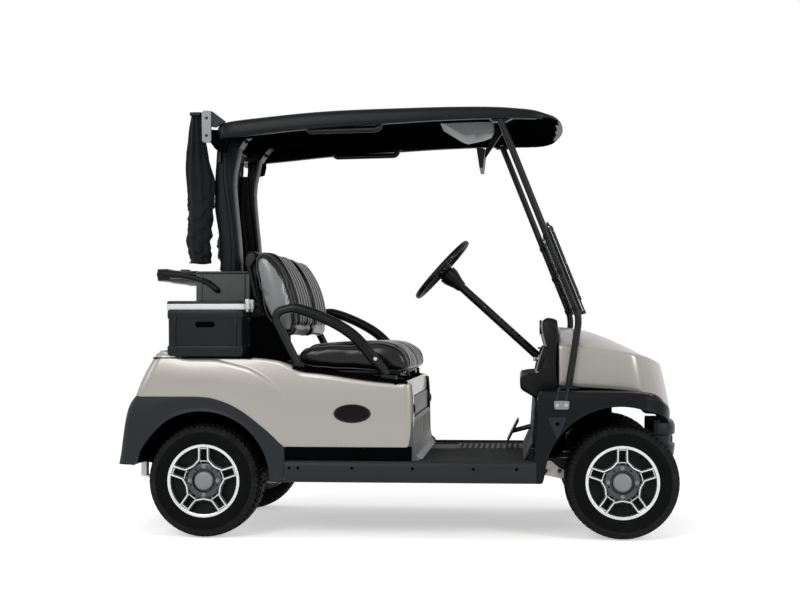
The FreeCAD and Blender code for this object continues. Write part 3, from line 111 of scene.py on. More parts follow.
def buildStudio():
    white = (1, 1, 1, 1)
    world = bpy.data.worlds.new("studio")
    scene.world = world
    world.use_nodes = True
    tree = world.node_tree
    light = feed(tree, tree.nodes["Background"], {"Color": white, "Strength": studio["worldStrength"]})
    backdrop = addNode(tree, "Background", {"Color": white, "Strength": 1.0})
    mix = addNode(tree, "MixShader", {0: seenDirectly(tree), 1: light.outputs[0], 2: backdrop.outputs[0]})
    feed(tree, tree.nodes["World Output"], {"Surface": mix.outputs[0]})

    reach = studio["floorReach"]
    floorMesh = bpy.data.meshes.new("floor")
    floorMesh.from_pydata([(-reach, -reach, 0), (reach, -reach, 0), (reach, reach, 0), (-reach, reach, 0)],
        [], [(0, 1, 2, 3)])
    floor = bpy.data.objects.new("floor", floorMesh)
    scene.collection.objects.link(floor)
    paper = bpy.data.materials.new("floorPaper")
    paper.use_nodes = True
    tree = paper.node_tree
    shader = feed(tree, tree.nodes["Principled BSDF"], {"Base Color": (*studio["floorColour"], 1),
        "Roughness": 0.9, "Specular IOR Level": 0.0})
    strength = addNode(tree, "Math", {0: seenDirectly(tree), 1: studio["floorLift"]}, operation="MULTIPLY")
    lift = addNode(tree, "Emission", {"Color": white, "Strength": strength.outputs[0]})
    total = addNode(tree, "AddShader", {0: shader.outputs[0], 1: lift.outputs[0]})
    feed(tree, tree.nodes["Material Output"], {"Surface": total.outputs[0]})
    floorMesh.materials.append(paper)
    for lamp in studio["lamps"]:
        addLamp(*lamp)


buildStudio()
print("studio ready")


# finishes: every colour, grain and roughness is worked out by nodes

dirt = (0.16, 0.15, 0.135)


def makeFinish(name, slot, colour, rough, mottle, grain=None, metal=0.0, roughSpread=0.06, weave=None,
        coat=0.0, coatRough=0.06, sheen=0.0, dust=None, glass=False, specular=0.5):
    # mottle: patches per metre and how far they differ
    material = bpy.data.materials.new(name)
    material.use_nodes = True
    material["slot"] = slot
    tree = material.node_tree
    shader = tree.nodes["Principled BSDF"]
    place = addNode(tree, "TexCoord", {}).outputs["Object"]

    def cloud(scale, detail):
        return addNode(tree, "TexNoise", {"Scale": scale, "Detail": detail, "Vector": place}).outputs["Fac"]

    ramp = addNode(tree, "ValToRGB", {"Fac": cloud(mottle[0], 5)})
    for stop, position, change in zip(ramp.color_ramp.elements, (0.3, 0.7), (-mottle[1], mottle[1])):
        stop.position = position
        stop.color = (*[min(1, c * (1 + change)) for c in colour], 1)
    paint = ramp.outputs["Color"]
    if dust:  # (height in metres where it ends, amount): dirt near the ground
        height = addNode(tree, "SeparateXYZ", {0: place}).outputs["Z"]
        fade = addNode(tree, "MapRange", {"From Min": 0.02, "From Max": dust[0], "To Min": dust[1],
            "To Max": 0.0, "Value": height})
        amount = addNode(tree, "Math", {0: fade.outputs[0], 1: cloud(22, 6)}, operation="MULTIPLY")
        paint = addNode(tree, "Mix", {}, data_type="RGBA")
        feed(tree, paint, {0: amount.outputs[0], 6: ramp.outputs["Color"], 7: (*dirt, 1)})
        paint = paint.outputs[2]
    spread = addNode(tree, "MapRange", {"To Min": max(0.02, rough - roughSpread), "To Max": min(1.0,
        rough + roughSpread), "Value": cloud(mottle[0] * 3, 6)})
    feed(tree, shader, {"Base Color": paint, "Roughness": spread.outputs[0], "Metallic": metal,
        "Coat Weight": coat, "Coat Roughness": coatRough, "Sheen Weight": sheen,
        "Specular IOR Level": specular})

    height = None
    if grain:  # (kind, cells per metre, strength)
        kind, scale, strength = grain
        cells = addNode(tree, "TexVoronoi" if kind == "cells" else "TexNoise", {"Scale": scale,
            "Vector": place})
        height = cells.outputs["Distance" if kind == "cells" else "Fac"]
    if weave:  # (threads per metre, strength)
        scale, strength = weave
        waves = [addNode(tree, "TexWave", {"Scale": scale / 3.2, "Distortion": 0.6, "Detail": 1,
            "Vector": place}, bands_direction=way).outputs["Fac"] for way in ("X", "Z")]
        height = addNode(tree, "Math", {0: waves[0], 1: waves[1]}, operation="MAXIMUM").outputs[0]
    if height:
        bump = addNode(tree, "Bump", {"Strength": strength, "Distance": 0.0006, "Height": height})
        feed(tree, shader, {"Normal": bump.outputs[0]})
    if glass:
        # light falls through the pane as through thin clear plastic
        feed(tree, shader, {"Transmission Weight": 1.0, "IOR": 1.03})
        through = addNode(tree, "BsdfTransparent", {"Color": (*colour, 1)})
        shadow = addNode(tree, "LightPath", {}).outputs["Is Shadow Ray"]
        mix = addNode(tree, "MixShader", {0: shadow, 1: shader.outputs[0], 2: through.outputs[0]})
        feed(tree, tree.nodes["Material Output"], {"Surface": mix.outputs[0]})
    return material


champagne = makeFinish("champagnePaint", "body_paint", (0.30, 0.284, 0.263), 0.31, (900, 0.05),
    ("noise", 60, 0.02), metal=0.3, roughSpread=0.04, coat=0.3, coatRough=0.05, specular=0.35)
charcoal = makeFinish("charcoalPlastic", "dark_plastic", (0.0125, 0.0148, 0.0175), 0.44, (4, 0.1),
    ("cells", 700, 0.12), dust=(0.35, 0.04), specular=0.15)
# charcoal plastic made darker: on the front wings the darker colour is painted shade, as they are the same
# plastic as the rear wings; the rear posts take it too
charcoalPaintedShade = makeFinish("charcoalPaintedShade", "dark_plastic", (0.0038, 0.0047, 0.0058), 0.38, (4, 0.1),
    ("cells", 700, 0.12), dust=(0.35, 0.02), specular=0.1)
roofPlastic = makeFinish("roofPlastic", "dark_plastic", (0.005, 0.0059, 0.0072), 0.36, (3, 0.1),
    ("cells", 800, 0.1), specular=0.11)
blackPlastic = makeFinish("blackPlastic", "black_plastic", (0.0024, 0.0027, 0.003), 0.38, (7, 0.15),
    ("cells", 900, 0.1), specular=0.13)
# near black with no reflection: the real black of liners, wells, bulkheads and trays, and painted shade on
# the roof's underside and the beams under it
linerPlasticAndPaintedShade = makeFinish("linerPlasticAndPaintedShade", "black_plastic", (0.0014, 0.0016, 0.0018), 0.9, (7, 0.2),
    ("noise", 400, 0.2), dust=(0.4, 0.02), specular=0.0)
greyPlastic = makeFinish("greyPlastic", "dark_plastic", (0.17, 0.178, 0.185), 0.42, (5, 0.07),
    ("cells", 800, 0.12))
whitePlastic = makeFinish("whitePlastic", "dark_plastic", (0.52, 0.525, 0.53), 0.4, (6, 0.03),
    ("noise", 300, 0.1))
matRubber = makeFinish("matRubber", "floor_mat", (0.0038, 0.0044, 0.005), 0.6, (8, 0.15),
    ("cells", 500, 0.2), dust=(0.36, 0.04), specular=0.12)
framePaint = makeFinish("framePaint", "frame_metal", (0.003, 0.0034, 0.0038), 0.34, (12, 0.15),
    ("noise", 120, 0.02), metal=0.05, dust=(0.3, 0.04), specular=0.22)
steel = makeFinish("springSteel", "steel", (0.4, 0.39, 0.37), 0.38, (30, 0.18), ("noise", 260, 0.1),
    metal=1.0, roughSpread=0.12)
darkSteel = makeFinish("darkSteel", "steel", (0.06, 0.06, 0.06), 0.45, (20, 0.3), ("noise", 260, 0.15),
    metal=0.7, roughSpread=0.12, dust=(0.3, 0.2))
rubber = makeFinish("tyreRubber", "tyre", (0.0026, 0.0028, 0.003), 0.58, (14, 0.2), ("noise", 500, 0.2),
    roughSpread=0.08, dust=(0.12, 0.025), specular=0.04)
# lighter rubber for the shoulder lugs: a painted highlight where they catch the light
shoulderRubberHighlight = makeFinish("tyreShoulderHighlight", "tyre", (0.0095, 0.0098, 0.0102), 0.8, (30, 0.3),
    ("noise", 420, 0.4), roughSpread=0.08, dust=(0.5, 0.05), specular=0.06)
rimSilver = makeFinish("rimSilver", "rim", (0.60, 0.605, 0.61), 0.27, (25, 0.06), ("noise", 700, 0.05),
    metal=0.9, coat=0.3)
rimShade = makeFinish("rimShade", "rim", (0.045, 0.047, 0.05), 0.38, (25, 0.1), ("noise", 700, 0.06),
    metal=0.7, coat=0.2)
rimDark = makeFinish("rimDark", "rim", (0.004, 0.0044, 0.0048), 0.5, (25, 0.15), ("noise", 600, 0.1),
    metal=0.2, specular=0.12)
vinyl = makeFinish("seatVinyl", "vinyl", (0.0022, 0.0025, 0.0028), 0.3, (9, 0.2), ("cells", 420, 0.06),
    coat=0.14, coatRough=0.16, specular=0.2)
piping = makeFinish("seatPiping", "vinyl", (0.008, 0.0085, 0.009), 0.34, (15, 0.15), ("cells", 600, 0.1),
    coat=0.2, specular=0.4)
panel = makeFinish("seatPanel", "vinyl", (0.125, 0.13, 0.134), 0.34, (5, 0.1), ("cells", 500, 0.1), coat=0.25)
coverCloth = makeFinish("coverCloth", "cloth", (0.0042, 0.0048, 0.006), 0.6, (16, 0.2), roughSpread=0.1,
    weave=(900, 0.2), sheen=0.03, specular=0.09)
clearPane = makeFinish("clearPane", "clear", (0.93, 0.95, 0.95), 0.04, (3, 0.01), ("noise", 3, 0.01),
    roughSpread=0.02, glass=True)
print("finishes ready")


# mesh helpers: lengths in millimetres until placePiece turns them into metres

def between(low, high, share):
    return low + (high - low) * share


def easeIn(share):
    share = min(1.0, max(0.0, share))
    return share * share * (3 - 2 * share)


def readTable(table, at):
    # a smooth curve through the rows (x, value); rows may run either way
    rows = sorted(table)
    if at <= rows[0][0]:
        return rows[0][1]
    if at >= rows[-1][0]:
        return rows[-1][1]
    i = max(k for k in range(len(rows) - 1) if rows[k][0] <= at)
    (x0, y0), (x1, y1) = rows[i], rows[i + 1]
    step = (y1 - y0) / (x1 - x0)
    before = (y0 - rows[i - 1][1]) / (x0 - rows[i - 1][0]) if i > 0 else step
    after = (rows[i + 2][1] - y1) / (rows[i + 2][0] - x1) if i + 2 < len(rows) else step
    startSlope = 0 if before * step <= 0 else (before + step) / 2
    endSlope = 0 if after * step <= 0 else (after + step) / 2
    limit = 2.5 * abs(step)
    startSlope = max(-limit, min(limit, startSlope))
    endSlope = max(-limit, min(limit, endSlope))
    t = (at - x0) / (x1 - x0)
    width = x1 - x0
    return ((2 * t ** 3 - 3 * t ** 2 + 1) * y0 + (t ** 3 - 2 * t ** 2 + t) * width * startSlope
        + (-2 * t ** 3 + 3 * t ** 2) * y1 + (t ** 3 - t ** 2) * width * endSlope)


def turns(count):
    # angles at even steps round a full circle
    return [2 * pi * k / count for k in range(count)]


def smoothPath(points, each=6, closed=False):
    # a smooth line through the points, for tubes, seams and outlines
    points = [Vector(p) for p in points]
    count = len(points)
    out = []
    for i in range(count if closed else count - 1):
        a = points[i - 1] if closed or i > 0 else points[i] * 2 - points[i + 1]
        b = points[i]
        c = points[(i + 1) % count]
        d = points[(i + 2) % count] if closed or i + 2 < count else c * 2 - b
        for k in range(each):
            t = k / each
            out.append(0.5 * (2 * b + (c - a) * t + (2 * a - 5 * b + 4 * c - d) * t * t + (3 * b - a - 3 * c
                + d) * t ** 3))
    if not closed:
        out.append(points[-1])
    return out


def evenPath(points, count, closed=False):
    # count points at even steps along a line
    points = [Vector(p) for p in points]
    if closed:
        points = points + [points[0]]
    runs = [(points[i + 1] - points[i]).length for i in range(len(points) - 1)]
    total = sum(runs)
    out = []
    i, passed = 0, 0.0
    for k in range(count):
        want = total * k / (count if closed else count - 1)
        while i < len(runs) - 1 and passed + runs[i] < want:
            passed += runs[i]
            i += 1
        share = (want - passed) / runs[i] if runs[i] else 0
        out.append(points[i].lerp(points[i + 1], min(1, max(0, share))))
    return out


def evenOutline(outline, each, count):
    return evenPath(smoothPath([(x, 0, z) for x, z in outline], each, closed=True), count, closed=True)


def addGrid(bm, rows, finish=0, around=False, ring=False, capStart=False, capEnd=False):
    # rows of points; around joins each row's ends, ring joins the last row to the first
    made = [[bm.verts.new(p) for p in row] for row in rows]
    high, wide = len(made), len(made[0])
    faces = []
    for i in range(high if ring else high - 1):
        for j in range(wide if around else wide - 1):
            a, b = made[i], made[(i + 1) % high]
            corners = [a[j], a[(j + 1) % wide], b[(j + 1) % wide], b[j]]
            if len({tuple(round(c, 4) for c in v.co) for v in corners}) < 3:
                continue
            faces.append(bm.faces.new(corners))
    if capStart:
        faces.append(bm.faces.new(list(reversed(made[0]))))
    if capEnd:
        faces.append(bm.faces.new(made[-1]))
    for face in faces:
        face.material_index = finish
    return made


def addLoft(bm, rows, finish=0):
    # closed rings joined into a solid with flat ends
    return addGrid(bm, rows, finish, around=True, capStart=True, capEnd=True)


def stepped(point, out, steps):
    # points in from a wall: how far in and how far up
    return [point - out * inset + Vector((0, 0, rise)) for inset, rise in steps]


def outward(line, i):
    # level direction square to the line at its point i
    a, b = line[max(0, i - 1)], line[min(len(line) - 1, i + 1)]
    return Vector((b.y - a.y, a.x - b.x, 0)).normalized()


def addLathe(bm, profile, place, axis="Y", steps=64, finish=0, closed=False):
    # profile rows are (along the axis, radius)
    rows = []
    for along, radius in profile:
        row = []
        for turn in turns(steps):
            a, b = radius * cos(turn), radius * sin(turn)
            offset = {"X": (along, a, b), "Y": (b, along, a), "Z": (a, b, along)}[axis]
            row.append(Vector(place) + Vector(offset))
        rows.append(row)
    return addGrid(bm, rows, finish, around=True, ring=closed)


def addTube(bm, path, radius, finish=0, sides=12, closed=False, flat=1.0, upward=(0, 0, 1)):
    # radius is one number or one for each point; flat narrows the tube across upward
    path = [Vector(p) for p in path]
    count = len(path)
    rows = []
    side = None
    for i, point in enumerate(path):
        ahead = path[(i + 1) % count] if closed or i + 1 < count else point
        behind = path[i - 1] if closed or i > 0 else point
        forward = (ahead - behind).normalized()
        if side is None:
            side = Vector(upward).cross(forward)
            if side.length < 1e-3:
                side = Vector((0, 1, 0)).cross(forward)
        side = (side - forward * side.dot(forward)).normalized()
        up = forward.cross(side)
        size = radius[i] if isinstance(radius, (list, tuple)) else radius
        rows.append([point + side * (size * flat * cos(turn)) + up * (size * sin(turn))
            for turn in turns(sides)])
    return addGrid(bm, rows, finish, around=True, ring=closed, capStart=not closed, capEnd=not closed)


def bevelFaces(bm, faces, width, segments=2, angle=25):
    edges = set()
    for face in faces:
        for edge in face.edges:
            if len(edge.link_faces) == 2 and edge.calc_face_angle(0) > radians(angle):
                edges.add(edge)
    if edges and width:
        bmesh.ops.bevel(bm, geom=list(edges), offset=width, segments=segments, profile=0.6, affect="EDGES",
            clamp_overlap=True)


def addBox(bm, low, high, finish=0, bevel=3, segments=2):
    made = bmesh.ops.create_cube(bm, size=1)["verts"]
    size = [high[i] - low[i] for i in range(3)]
    middle = Vector([(high[i] + low[i]) / 2 for i in range(3)])
    for v in made:
        v.co = Vector((v.co.x * size[0], v.co.y * size[1], v.co.z * size[2]))
        v.co += middle
    faces = list({f for v in made for f in v.link_faces})
    for face in faces:
        face.material_index = finish
    bevelFaces(bm, faces, bevel, segments)


def addPlate(bm, outline, low, high, axis="Y", finish=0, bevel=2, segments=2):
    # a flat outline pushed out from low to high along axis
    def lay(p, along):
        return {"X": (along, p[0], p[1]), "Y": (p[0], along, p[1]), "Z": (p[0], p[1], along)}[axis]
    start = [bm.verts.new(lay(p, low)) for p in outline]
    end = [bm.verts.new(lay(p, high)) for p in outline]
    faces = [bm.faces.new(start), bm.faces.new(list(reversed(end)))]
    for i in range(len(start)):
        j = (i + 1) % len(start)
        faces.append(bm.faces.new([start[j], start[i], end[i], end[j]]))
    for face in faces:
        face.material_index = finish
    bevelFaces(bm, faces, bevel, segments)


def addBolt(bm, place, axis, radius, rise, finish=0):
    # a hexagon head on a washer; rise is signed along the axis
    washer = [(0, 0.1), (0, radius * 1.35), (rise * 0.25, radius * 1.35), (rise * 0.25, 0.1)]
    head = [(rise * 0.2, 0.1), (rise * 0.2, radius), (rise * 0.85, radius), (rise, radius * 0.8), (rise, 0.1)]
    addLathe(bm, washer, place, axis, 16, finish)
    addLathe(bm, head, place, axis, 6, finish)


def bothSides(bm):
    # adds the left-hand copy of everything built so far
    made = bmesh.ops.duplicate(bm, geom=bm.verts[:] + bm.edges[:] + bm.faces[:])["geom"]
    for v in [g for g in made if isinstance(g, bmesh.types.BMVert)]:
        v.co.y = -v.co.y
    bmesh.ops.reverse_faces(bm, faces=[g for g in made if isinstance(g, bmesh.types.BMFace)])


def placePiece(bm, name, finishes, body="chassis", instead=(), sharp=38, thick=0):
    # edges that turn more than sharp degrees stay sharp; thick gives a skin its wall
    bmesh.ops.remove_doubles(bm, verts=bm.verts[:], dist=0.01)
    bmesh.ops.recalc_face_normals(bm, faces=bm.faces[:])
    bmesh.ops.scale(bm, vec=(0.001, 0.001, 0.001), verts=bm.verts[:])
    mesh = bpy.data.meshes.new(name)
    bm.to_mesh(mesh)
    bm.free()
    for finish in finishes:
        mesh.materials.append(finish)
    piece = bpy.data.objects.new(name, mesh)
    scene.collection.objects.link(piece)
    mesh.shade_smooth()
    mesh.set_sharp_from_angle(angle=radians(sharp))
    if thick:
        wall = piece.modifiers.new("wall", "SOLIDIFY")
        wall.thickness = thick * 0.001
        wall.offset = -1
    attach(piece, body)
    if instead:
        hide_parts(*instead)
    return piece


def dress(finish, *names):
    # gives a CAD node its finish
    for name in names:
        node = nodes[name]
        for place in node.material_slots:
            place.material = finish


def span(node):
    low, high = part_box(node)
    return low * 1000, high * 1000


# wheels: a tyre with shoulder lugs and tread blocks, a machined rim with five paired ribs

tyreShape = {
    "pitches": 60,  # lugs round the tyre
    "columns": 6,  # mesh columns for each lug, of which the last two are groove
    "grooveDepth": 4.5,
    # from the outer side inwards: (along, radius, zone); zones: wall, lug, gap, block, centre
    "halfProfile": [(17, 142, "wall"), (9, 144, "wall"), (4, 150, "wall"), (2.5, 151, "wall"),
        (2.5, 153.5, "wall"), (1, 160, "wall"), (0.3, 172, "wall"), (1, 184, "wall"), (1.6, 186, "wall"),
        (0.6, 187.5, "wall"), (2.6, 194, "wall"), (3.2, 197, "lug"), (6, 205, "lug"), (11, 213.5, "lug"),
        (19, 220, "lug"), (31, 224.6, "lug"), (32, 220.5, "gap"), (36, 221, "gap"), (37, 225.6, "block"),
        (50, 226.8, "block"), (62, 227.4, "block"), (63, 222.5, "gap"), (67, 222.8, "gap"),
        (68, 227.8, "centre"), (84, 228.3, "centre"), (102, 228.5, "centre")],
}
rimShape = {
    "steps": 72,
    # along the axle and radius
    "barrel": [(12, 147), (9.5, 145.6), (9.5, 138.5), (12.5, 136), (14, 132), (46, 129.5), (178, 132),
        (186, 138), (188, 147), (184, 147), (181, 140), (175, 136), (60, 134), (20, 137)],
    "lip": [(9.4, 147), (6.6, 145.5), (6, 140), (8, 134.5), (12, 133), (14, 136), (12, 146.5)],
    "ribGap": 18.0,  # a rib's middle line from the middle of its pair
    # round a window: degrees past the pair, reach, offset to the side, depth behind the ribs' middle
    "window": [(0, 137, 18, -2), (0, 118, 18, -1), (0, 86, 19, 1), (0, 77, 26, 2), (36, 75, -14, 2),
        (36, 73, 0, 2), (36, 75, 14, 2), (72, 77, -26, 2), (72, 86, -19, 1), (72, 118, -18, -1),
        (72, 137, -18, -2)],
    "ribSize": (6.6, 0.5),
    "ribMiddle": 18.5,
    "dish": [(44, 133), (46, 118), (50, 95), (48, 72), (40, 66), (52, 60), (56, 100), (52, 133)],
    "hubRing": [(46, 71), (23, 71), (19, 67.5), (18, 62), (19.5, 48), (23, 45), (34, 44), (34, 40)],
    "cap": [(34, 37), (15, 36.5), (11.5, 34), (9.5, 28), (8.2, 18), (7.8, 8), (7.7, 0.5)],
    "nuts": 4,
    "nutCircle": 56.5,
}


def wheelPlace(corner):
    low, high = span("tyre_" + corner)
    outward = -1 if "right" in corner else 1
    faceY = low.y if outward < 0 else high.y
    middle = ((low.x + high.x) / 2, faceY, (low.z + high.z) / 2)
    return middle, outward


def buildTyre(corner):
    middle, outward = wheelPlace(corner)
    half = tyreShape["halfProfile"]
    profile = half + [(204 - a, r, zone) for a, r, zone in reversed(half[:-1])]
    pitch = tyreShape["columns"]
    columns = tyreShape["pitches"] * pitch
    bm = bmesh.new()
    rows = []
    for along, radius, zone in profile:
        row = []
        for k in range(columns):
            shift = {"block": 3, "centre": 1}.get(zone, 0)
            groove = (k + shift) % pitch >= pitch - 2 and zone in ("lug", "block")
            if zone == "centre":
                groove = (k + shift) % (2 * pitch) >= 2 * pitch - 2
            size = radius - (tyreShape["grooveDepth"] if groove else 0)
            turn = 2 * pi * k / columns
            row.append((middle[0] + size * cos(turn), middle[1] - outward * along,
                middle[2] + size * sin(turn)))
        rows.append(row)
    addGrid(bm, rows, around=True, ring=True)
    # the shoulder lugs on both sides take the lighter rubber, a painted highlight
    for face in bm.faces:
        spot = face.calc_center_median()
        along = abs(spot.y - middle[1])
        radius = hypot(spot.x - middle[0], spot.z - middle[2])
        if radius > 195 and (along < 20 or along > 184):
            face.material_index = 1
    placePiece(bm, "tyreTread_" + corner, [rubber, shoulderRubberHighlight], "wheel_" + corner, ["tyre_" + corner],
        sharp=32)


def buildRim(corner):
    middle, outward = wheelPlace(corner)
    bm = bmesh.new()

    def inward(profile):
        return [(-outward * along, radius) for along, radius in profile]

    def onFace(turn, reach, offset, along):
        # a point at reach from the axle and offset to the side, in a frame turned from upright
        ahead = Vector((cos(turn), sin(turn)))
        across = Vector((-sin(turn), cos(turn)))
        spot = ahead * reach + across * offset
        return Vector((middle[0] + spot.x, middle[1] - outward * along, middle[2] + spot.y))

    steps = rimShape["steps"]
    addLathe(bm, inward(rimShape["barrel"]), middle, "Y", steps, 2, closed=True)
    addLathe(bm, inward(rimShape["lip"]), middle, "Y", steps, closed=True)
    # the dark dish behind the windows, dipping towards the hub
    addLathe(bm, inward(rimShape["dish"]), middle, "Y", steps, 1, closed=True)
    addLathe(bm, inward(rimShape["hubRing"]), middle, "Y", 48, 2)
    addLathe(bm, inward(rimShape["cap"]), middle, "Y", 40, 3)
    gap = rimShape["ribGap"]
    depth = rimShape["ribMiddle"]
    size, flat = rimShape["ribSize"]
    for k in range(5):
        turn = radians(90 + 72 * k)
        window = [onFace(turn + radians(past), reach, offset, depth + behind) for past, reach, offset,
            behind in rimShape["window"]]
        addTube(bm, smoothPath(window, 3), size * 2.1, 0, 10, flat=flat, upward=(0, 1, 0))
        # the wall of the window, which shows as a shaded flank
        flank = [p + Vector((0, -outward * 15, 0)) for p in window]
        addTube(bm, smoothPath(flank, 3), 8.5, 2, 8, flat=0.45, upward=(0, 1, 0))
        # the bridges at the ends of the slot between two ribs
        for reach, thick in ((128, 7.5), (78, 6)):
            bridge = [onFace(turn, reach, -gap, depth + 1), onFace(turn, reach + 1.5, 0, depth + 2),
                onFace(turn, reach, gap, depth + 1)]
            addTube(bm, smoothPath(bridge, 3), thick, 0, 10, flat=0.62, upward=(0, 1, 0))
        # a web from the ribs in to the hub ring
        for lean in (-1, 1):
            web = [onFace(turn, 80, lean * gap * 0.9, 28), onFace(turn, 69, lean * gap * 0.7, 30)]
            addTube(bm, web, 9, 2, 8, flat=0.7, upward=(0, 1, 0))
        pit = onFace(turn + radians(36), rimShape["nutCircle"], 0, 19.5)
        addLathe(bm, [(0, 4.5), (outward * 2, 3.6), (outward * 2, 0.3)], pit, "Y", 12, 1)
    for k in range(rimShape["nuts"]):
        turn = radians(90 + 360 * k / rimShape["nuts"])
        addBolt(bm, onFace(turn, rimShape["nutCircle"], 0, 18.5), "Y", 6.6, outward * 10.5, 3)
    valve = [onFace(radians(54), 121, 0, 44), onFace(radians(54), 118, 0, 28), onFace(radians(54), 116, 0,
        20)]
    addTube(bm, valve, [4, 3, 2.4], 1, 10, upward=(1, 0, 0))
    # the hub plate at the back, which the axle flange bolts to
    addLathe(bm, inward([(60, 30), (62, 62), (70, 66), (74, 60), (74, 30)]), middle, "Y", 40, 2, closed=True)
    placePiece(bm, "wheelRim_" + corner, [rimSilver, rimDark, rimShade, greyPlastic], "wheel_" + corner,
        ["rim_" + corner], sharp=40)


for corner in ("rear_right", "rear_left", "front_right", "front_left"):
    buildTyre(corner)
    buildRim(corner)
print("wheels ready")


# rear body: one painted shell from the front edge of one side round the back to the other

rearBody = {
    "half": 590.5,
    "bulge": 6.0,  # how far the rear wing stands out below its crease
    "bulgeFade": (-425, -590),
    "ledge": 10,
    "edgeRadius": 27,  # the upright front edge
    # how the edges roll in: how far in and how far up
    "lowerRoll": [(24, -1), (9, -4), (2, -2.5)],
    "upperRoll": [(2.5, 3), (8, 5), (26, 5.5), (44, 4.5), (48, -1), (49, -14)],
    "frontX": 57.5,
    "rearX": -1056,
    "cornerRadius": 46,
    "rake": (0.44, -800),  # how much the back leans forward with height, and where that starts
    # x, z of the lower edge with x, z of the upper edge
    "edges": [((30, 363), (30, 616)), ((-10, 363), (-12, 614)), ((-120, 363), (-140, 627)),
        ((-260, 363), (-285, 650)), ((-370, 363), (-385, 661)), ((-440, 365), (-425, 682)),
        ((-470, 375), (-470, 701)), ((-505, 408), (-510, 708)), ((-551, 455), (-560, 713)),
        ((-600, 494), (-610, 716)), ((-655, 528), (-665, 717)), ((-710, 551), (-720, 717)),
        ((-765, 564), (-780, 717)), ((-830, 567), (-840, 718)), ((-900, 567), (-905, 724)),
        ((-960, 567), (-960, 735)), ((-1010, 567), (-1010, 742))],
    "rearEdge": (567, 744),
    # x, z of the crease that divides the wing from the front panel
    "crease": [(-1056, 738), (-930, 726), (-868, 712), (-762, 711), (-697, 698), (-640, 684), (-598, 672),
        (-564, 656), (-533, 637), (-500, 613), (-466, 582), (-435, 548), (-400, 520), (-340, 500),
        (-200, 492), (60, 488)],
}


def rearBodyColumn(lower, upper, bulge, ledge, crease):
    # heights of one upright column with how far the wing's bulge counts at each
    middle = max(min(crease, upper - 7), lower + 30)
    top = min(middle + ledge, upper - 3)
    heights = [(between(lower, middle, k / 14), 1) for k in range(14)]
    heights += [(between(middle, top, k / 3), 1 - easeIn(k / 3)) for k in range(4)]
    heights += [(between(top, upper, k / 9), 0) for k in range(1, 10)]
    return [(z, bulge * count) for z, count in heights]


def panelSwell(z, share):
    # the painted panel swells a little between its edges and leans in at the top and bottom
    lean = 13 * max(0, (z - 560) / 180) ** 2 + 5 * max(0, (470 - z) / 110) ** 2
    return 5 * sin(pi * share) - lean


def buildRearBody():
    shape = rearBody
    bm = bmesh.new()
    edges = smoothPath([(a[0], 0, a[1]) for a, b in shape["edges"]], 5)
    tops = smoothPath([(b[0], 0, b[1]) for a, b in shape["edges"]], 5)
    radius = shape["edgeRadius"]
    columns = []

    def column(x, upperX, outX, outY, y, low, high, blendBack):
        # out is the outward direction in plan
        fadeStart, fadeEnd = shape["bulgeFade"]
        bulge = shape["bulge"] * easeIn((fadeStart - x) / (fadeStart - fadeEnd))
        crease = readTable(shape["crease"], upperX)
        rows = rearBodyColumn(low, high, bulge, shape["ledge"], crease)
        points = []
        rake = shape["rake"][0]
        for z, proud in rows:
            share = (z - low) / (high - low)
            here = between(x, upperX, share)
            if blendBack > 0:
                here += rake * (z - shape["rearEdge"][0]) * blendBack
            out = proud + panelSwell(z, share)
            points.append(Vector((here + outX * out, y + outY * out, z)))
        roll = Vector((outX, outY, 0))
        columns.append(stepped(points[0], roll, shape["lowerRoll"]) + points + stepped(points[-1], roll,
            shape["upperRoll"]))

    low, high = edges[0].z, tops[0].z
    columnX = shape["frontX"] - radius
    column(shape["frontX"], shape["frontX"], 1, 0, -shape["half"] + 70, low, high, 0)
    column(shape["frontX"], shape["frontX"], 1, 0, -shape["half"] + radius + 12, low, high, 0)
    for turn in (0, 15, 30, 45, 60, 75):
        a = radians(turn)
        column(columnX + radius * cos(a), columnX + radius * cos(a), cos(a), -sin(a),
            -shape["half"] + radius - radius * sin(a), low, high, 0)
    for a, b in zip(edges, tops):
        back = easeIn((shape["rake"][1] - a.x) / (shape["rake"][1] + 1010)) * 0.9
        column(a.x, b.x, 0, -1, -shape["half"], a.z, b.z, back)
    low, high = shape["rearEdge"]
    corner = shape["cornerRadius"]
    for turn in range(10, 91, 10):
        a = radians(turn)
        x = shape["rearX"] + corner - corner * sin(a)
        y = -shape["half"] + corner - corner * cos(a)
        column(x, x, -sin(a), -cos(a), y, low, high, between(0.9, 1, turn / 90))
    for k in range(1, 13):
        y = (-shape["half"] + corner) * (1 - k / 12)
        bow = 4 * (1 - (y / 545) ** 2)
        column(shape["rearX"] - bow, shape["rearX"] - bow, -1, 0, y, low, high, 1)
    addGrid(bm, columns)
    bothSides(bm)
    placePiece(bm, "rearBodyShell", [champagne], instead=["rear_body"], sharp=50, thick=3)


buildRearBody()


# rear wings: the dark lower body with the wheel arches, and the liner inside them

wing = {
    "half": 596,
    "arch": (-786, 228.5, 280),  # x, z and radius
    "rearX": -1123,
    "cornerRadius": 40,
    "lipRoll": 11,
    "start": [((-450, 227), (-450, 361)), ((-480, 227), (-463, 378)), ((-506, 229), (-475, 393))],
    # the arch's angle with x, z on the upper edge
    "overArch": [(8, -480, 400), (18, -494, 417), (30, -524, 449), (42, -568, 489), (54, -620, 526),
        (66, -680, 555), (78, -738, 571), (90, -790, 577), (102, -845, 578), (114, -898, 578),
        (126, -946, 578), (138, -985, 578), (150, -1012, 578), (160, -1024, 578), (167, -1028, 578)],
    "rearLow": 293,
    "rearHigh": 578,
    "liner": ((8, 168, 26), 3, [(-584, 0), (-560, 5), (-500, 7), (-440, 6), (-396, 3), (-382, -6),
        (-377, -22), (-376, -140)]),
}


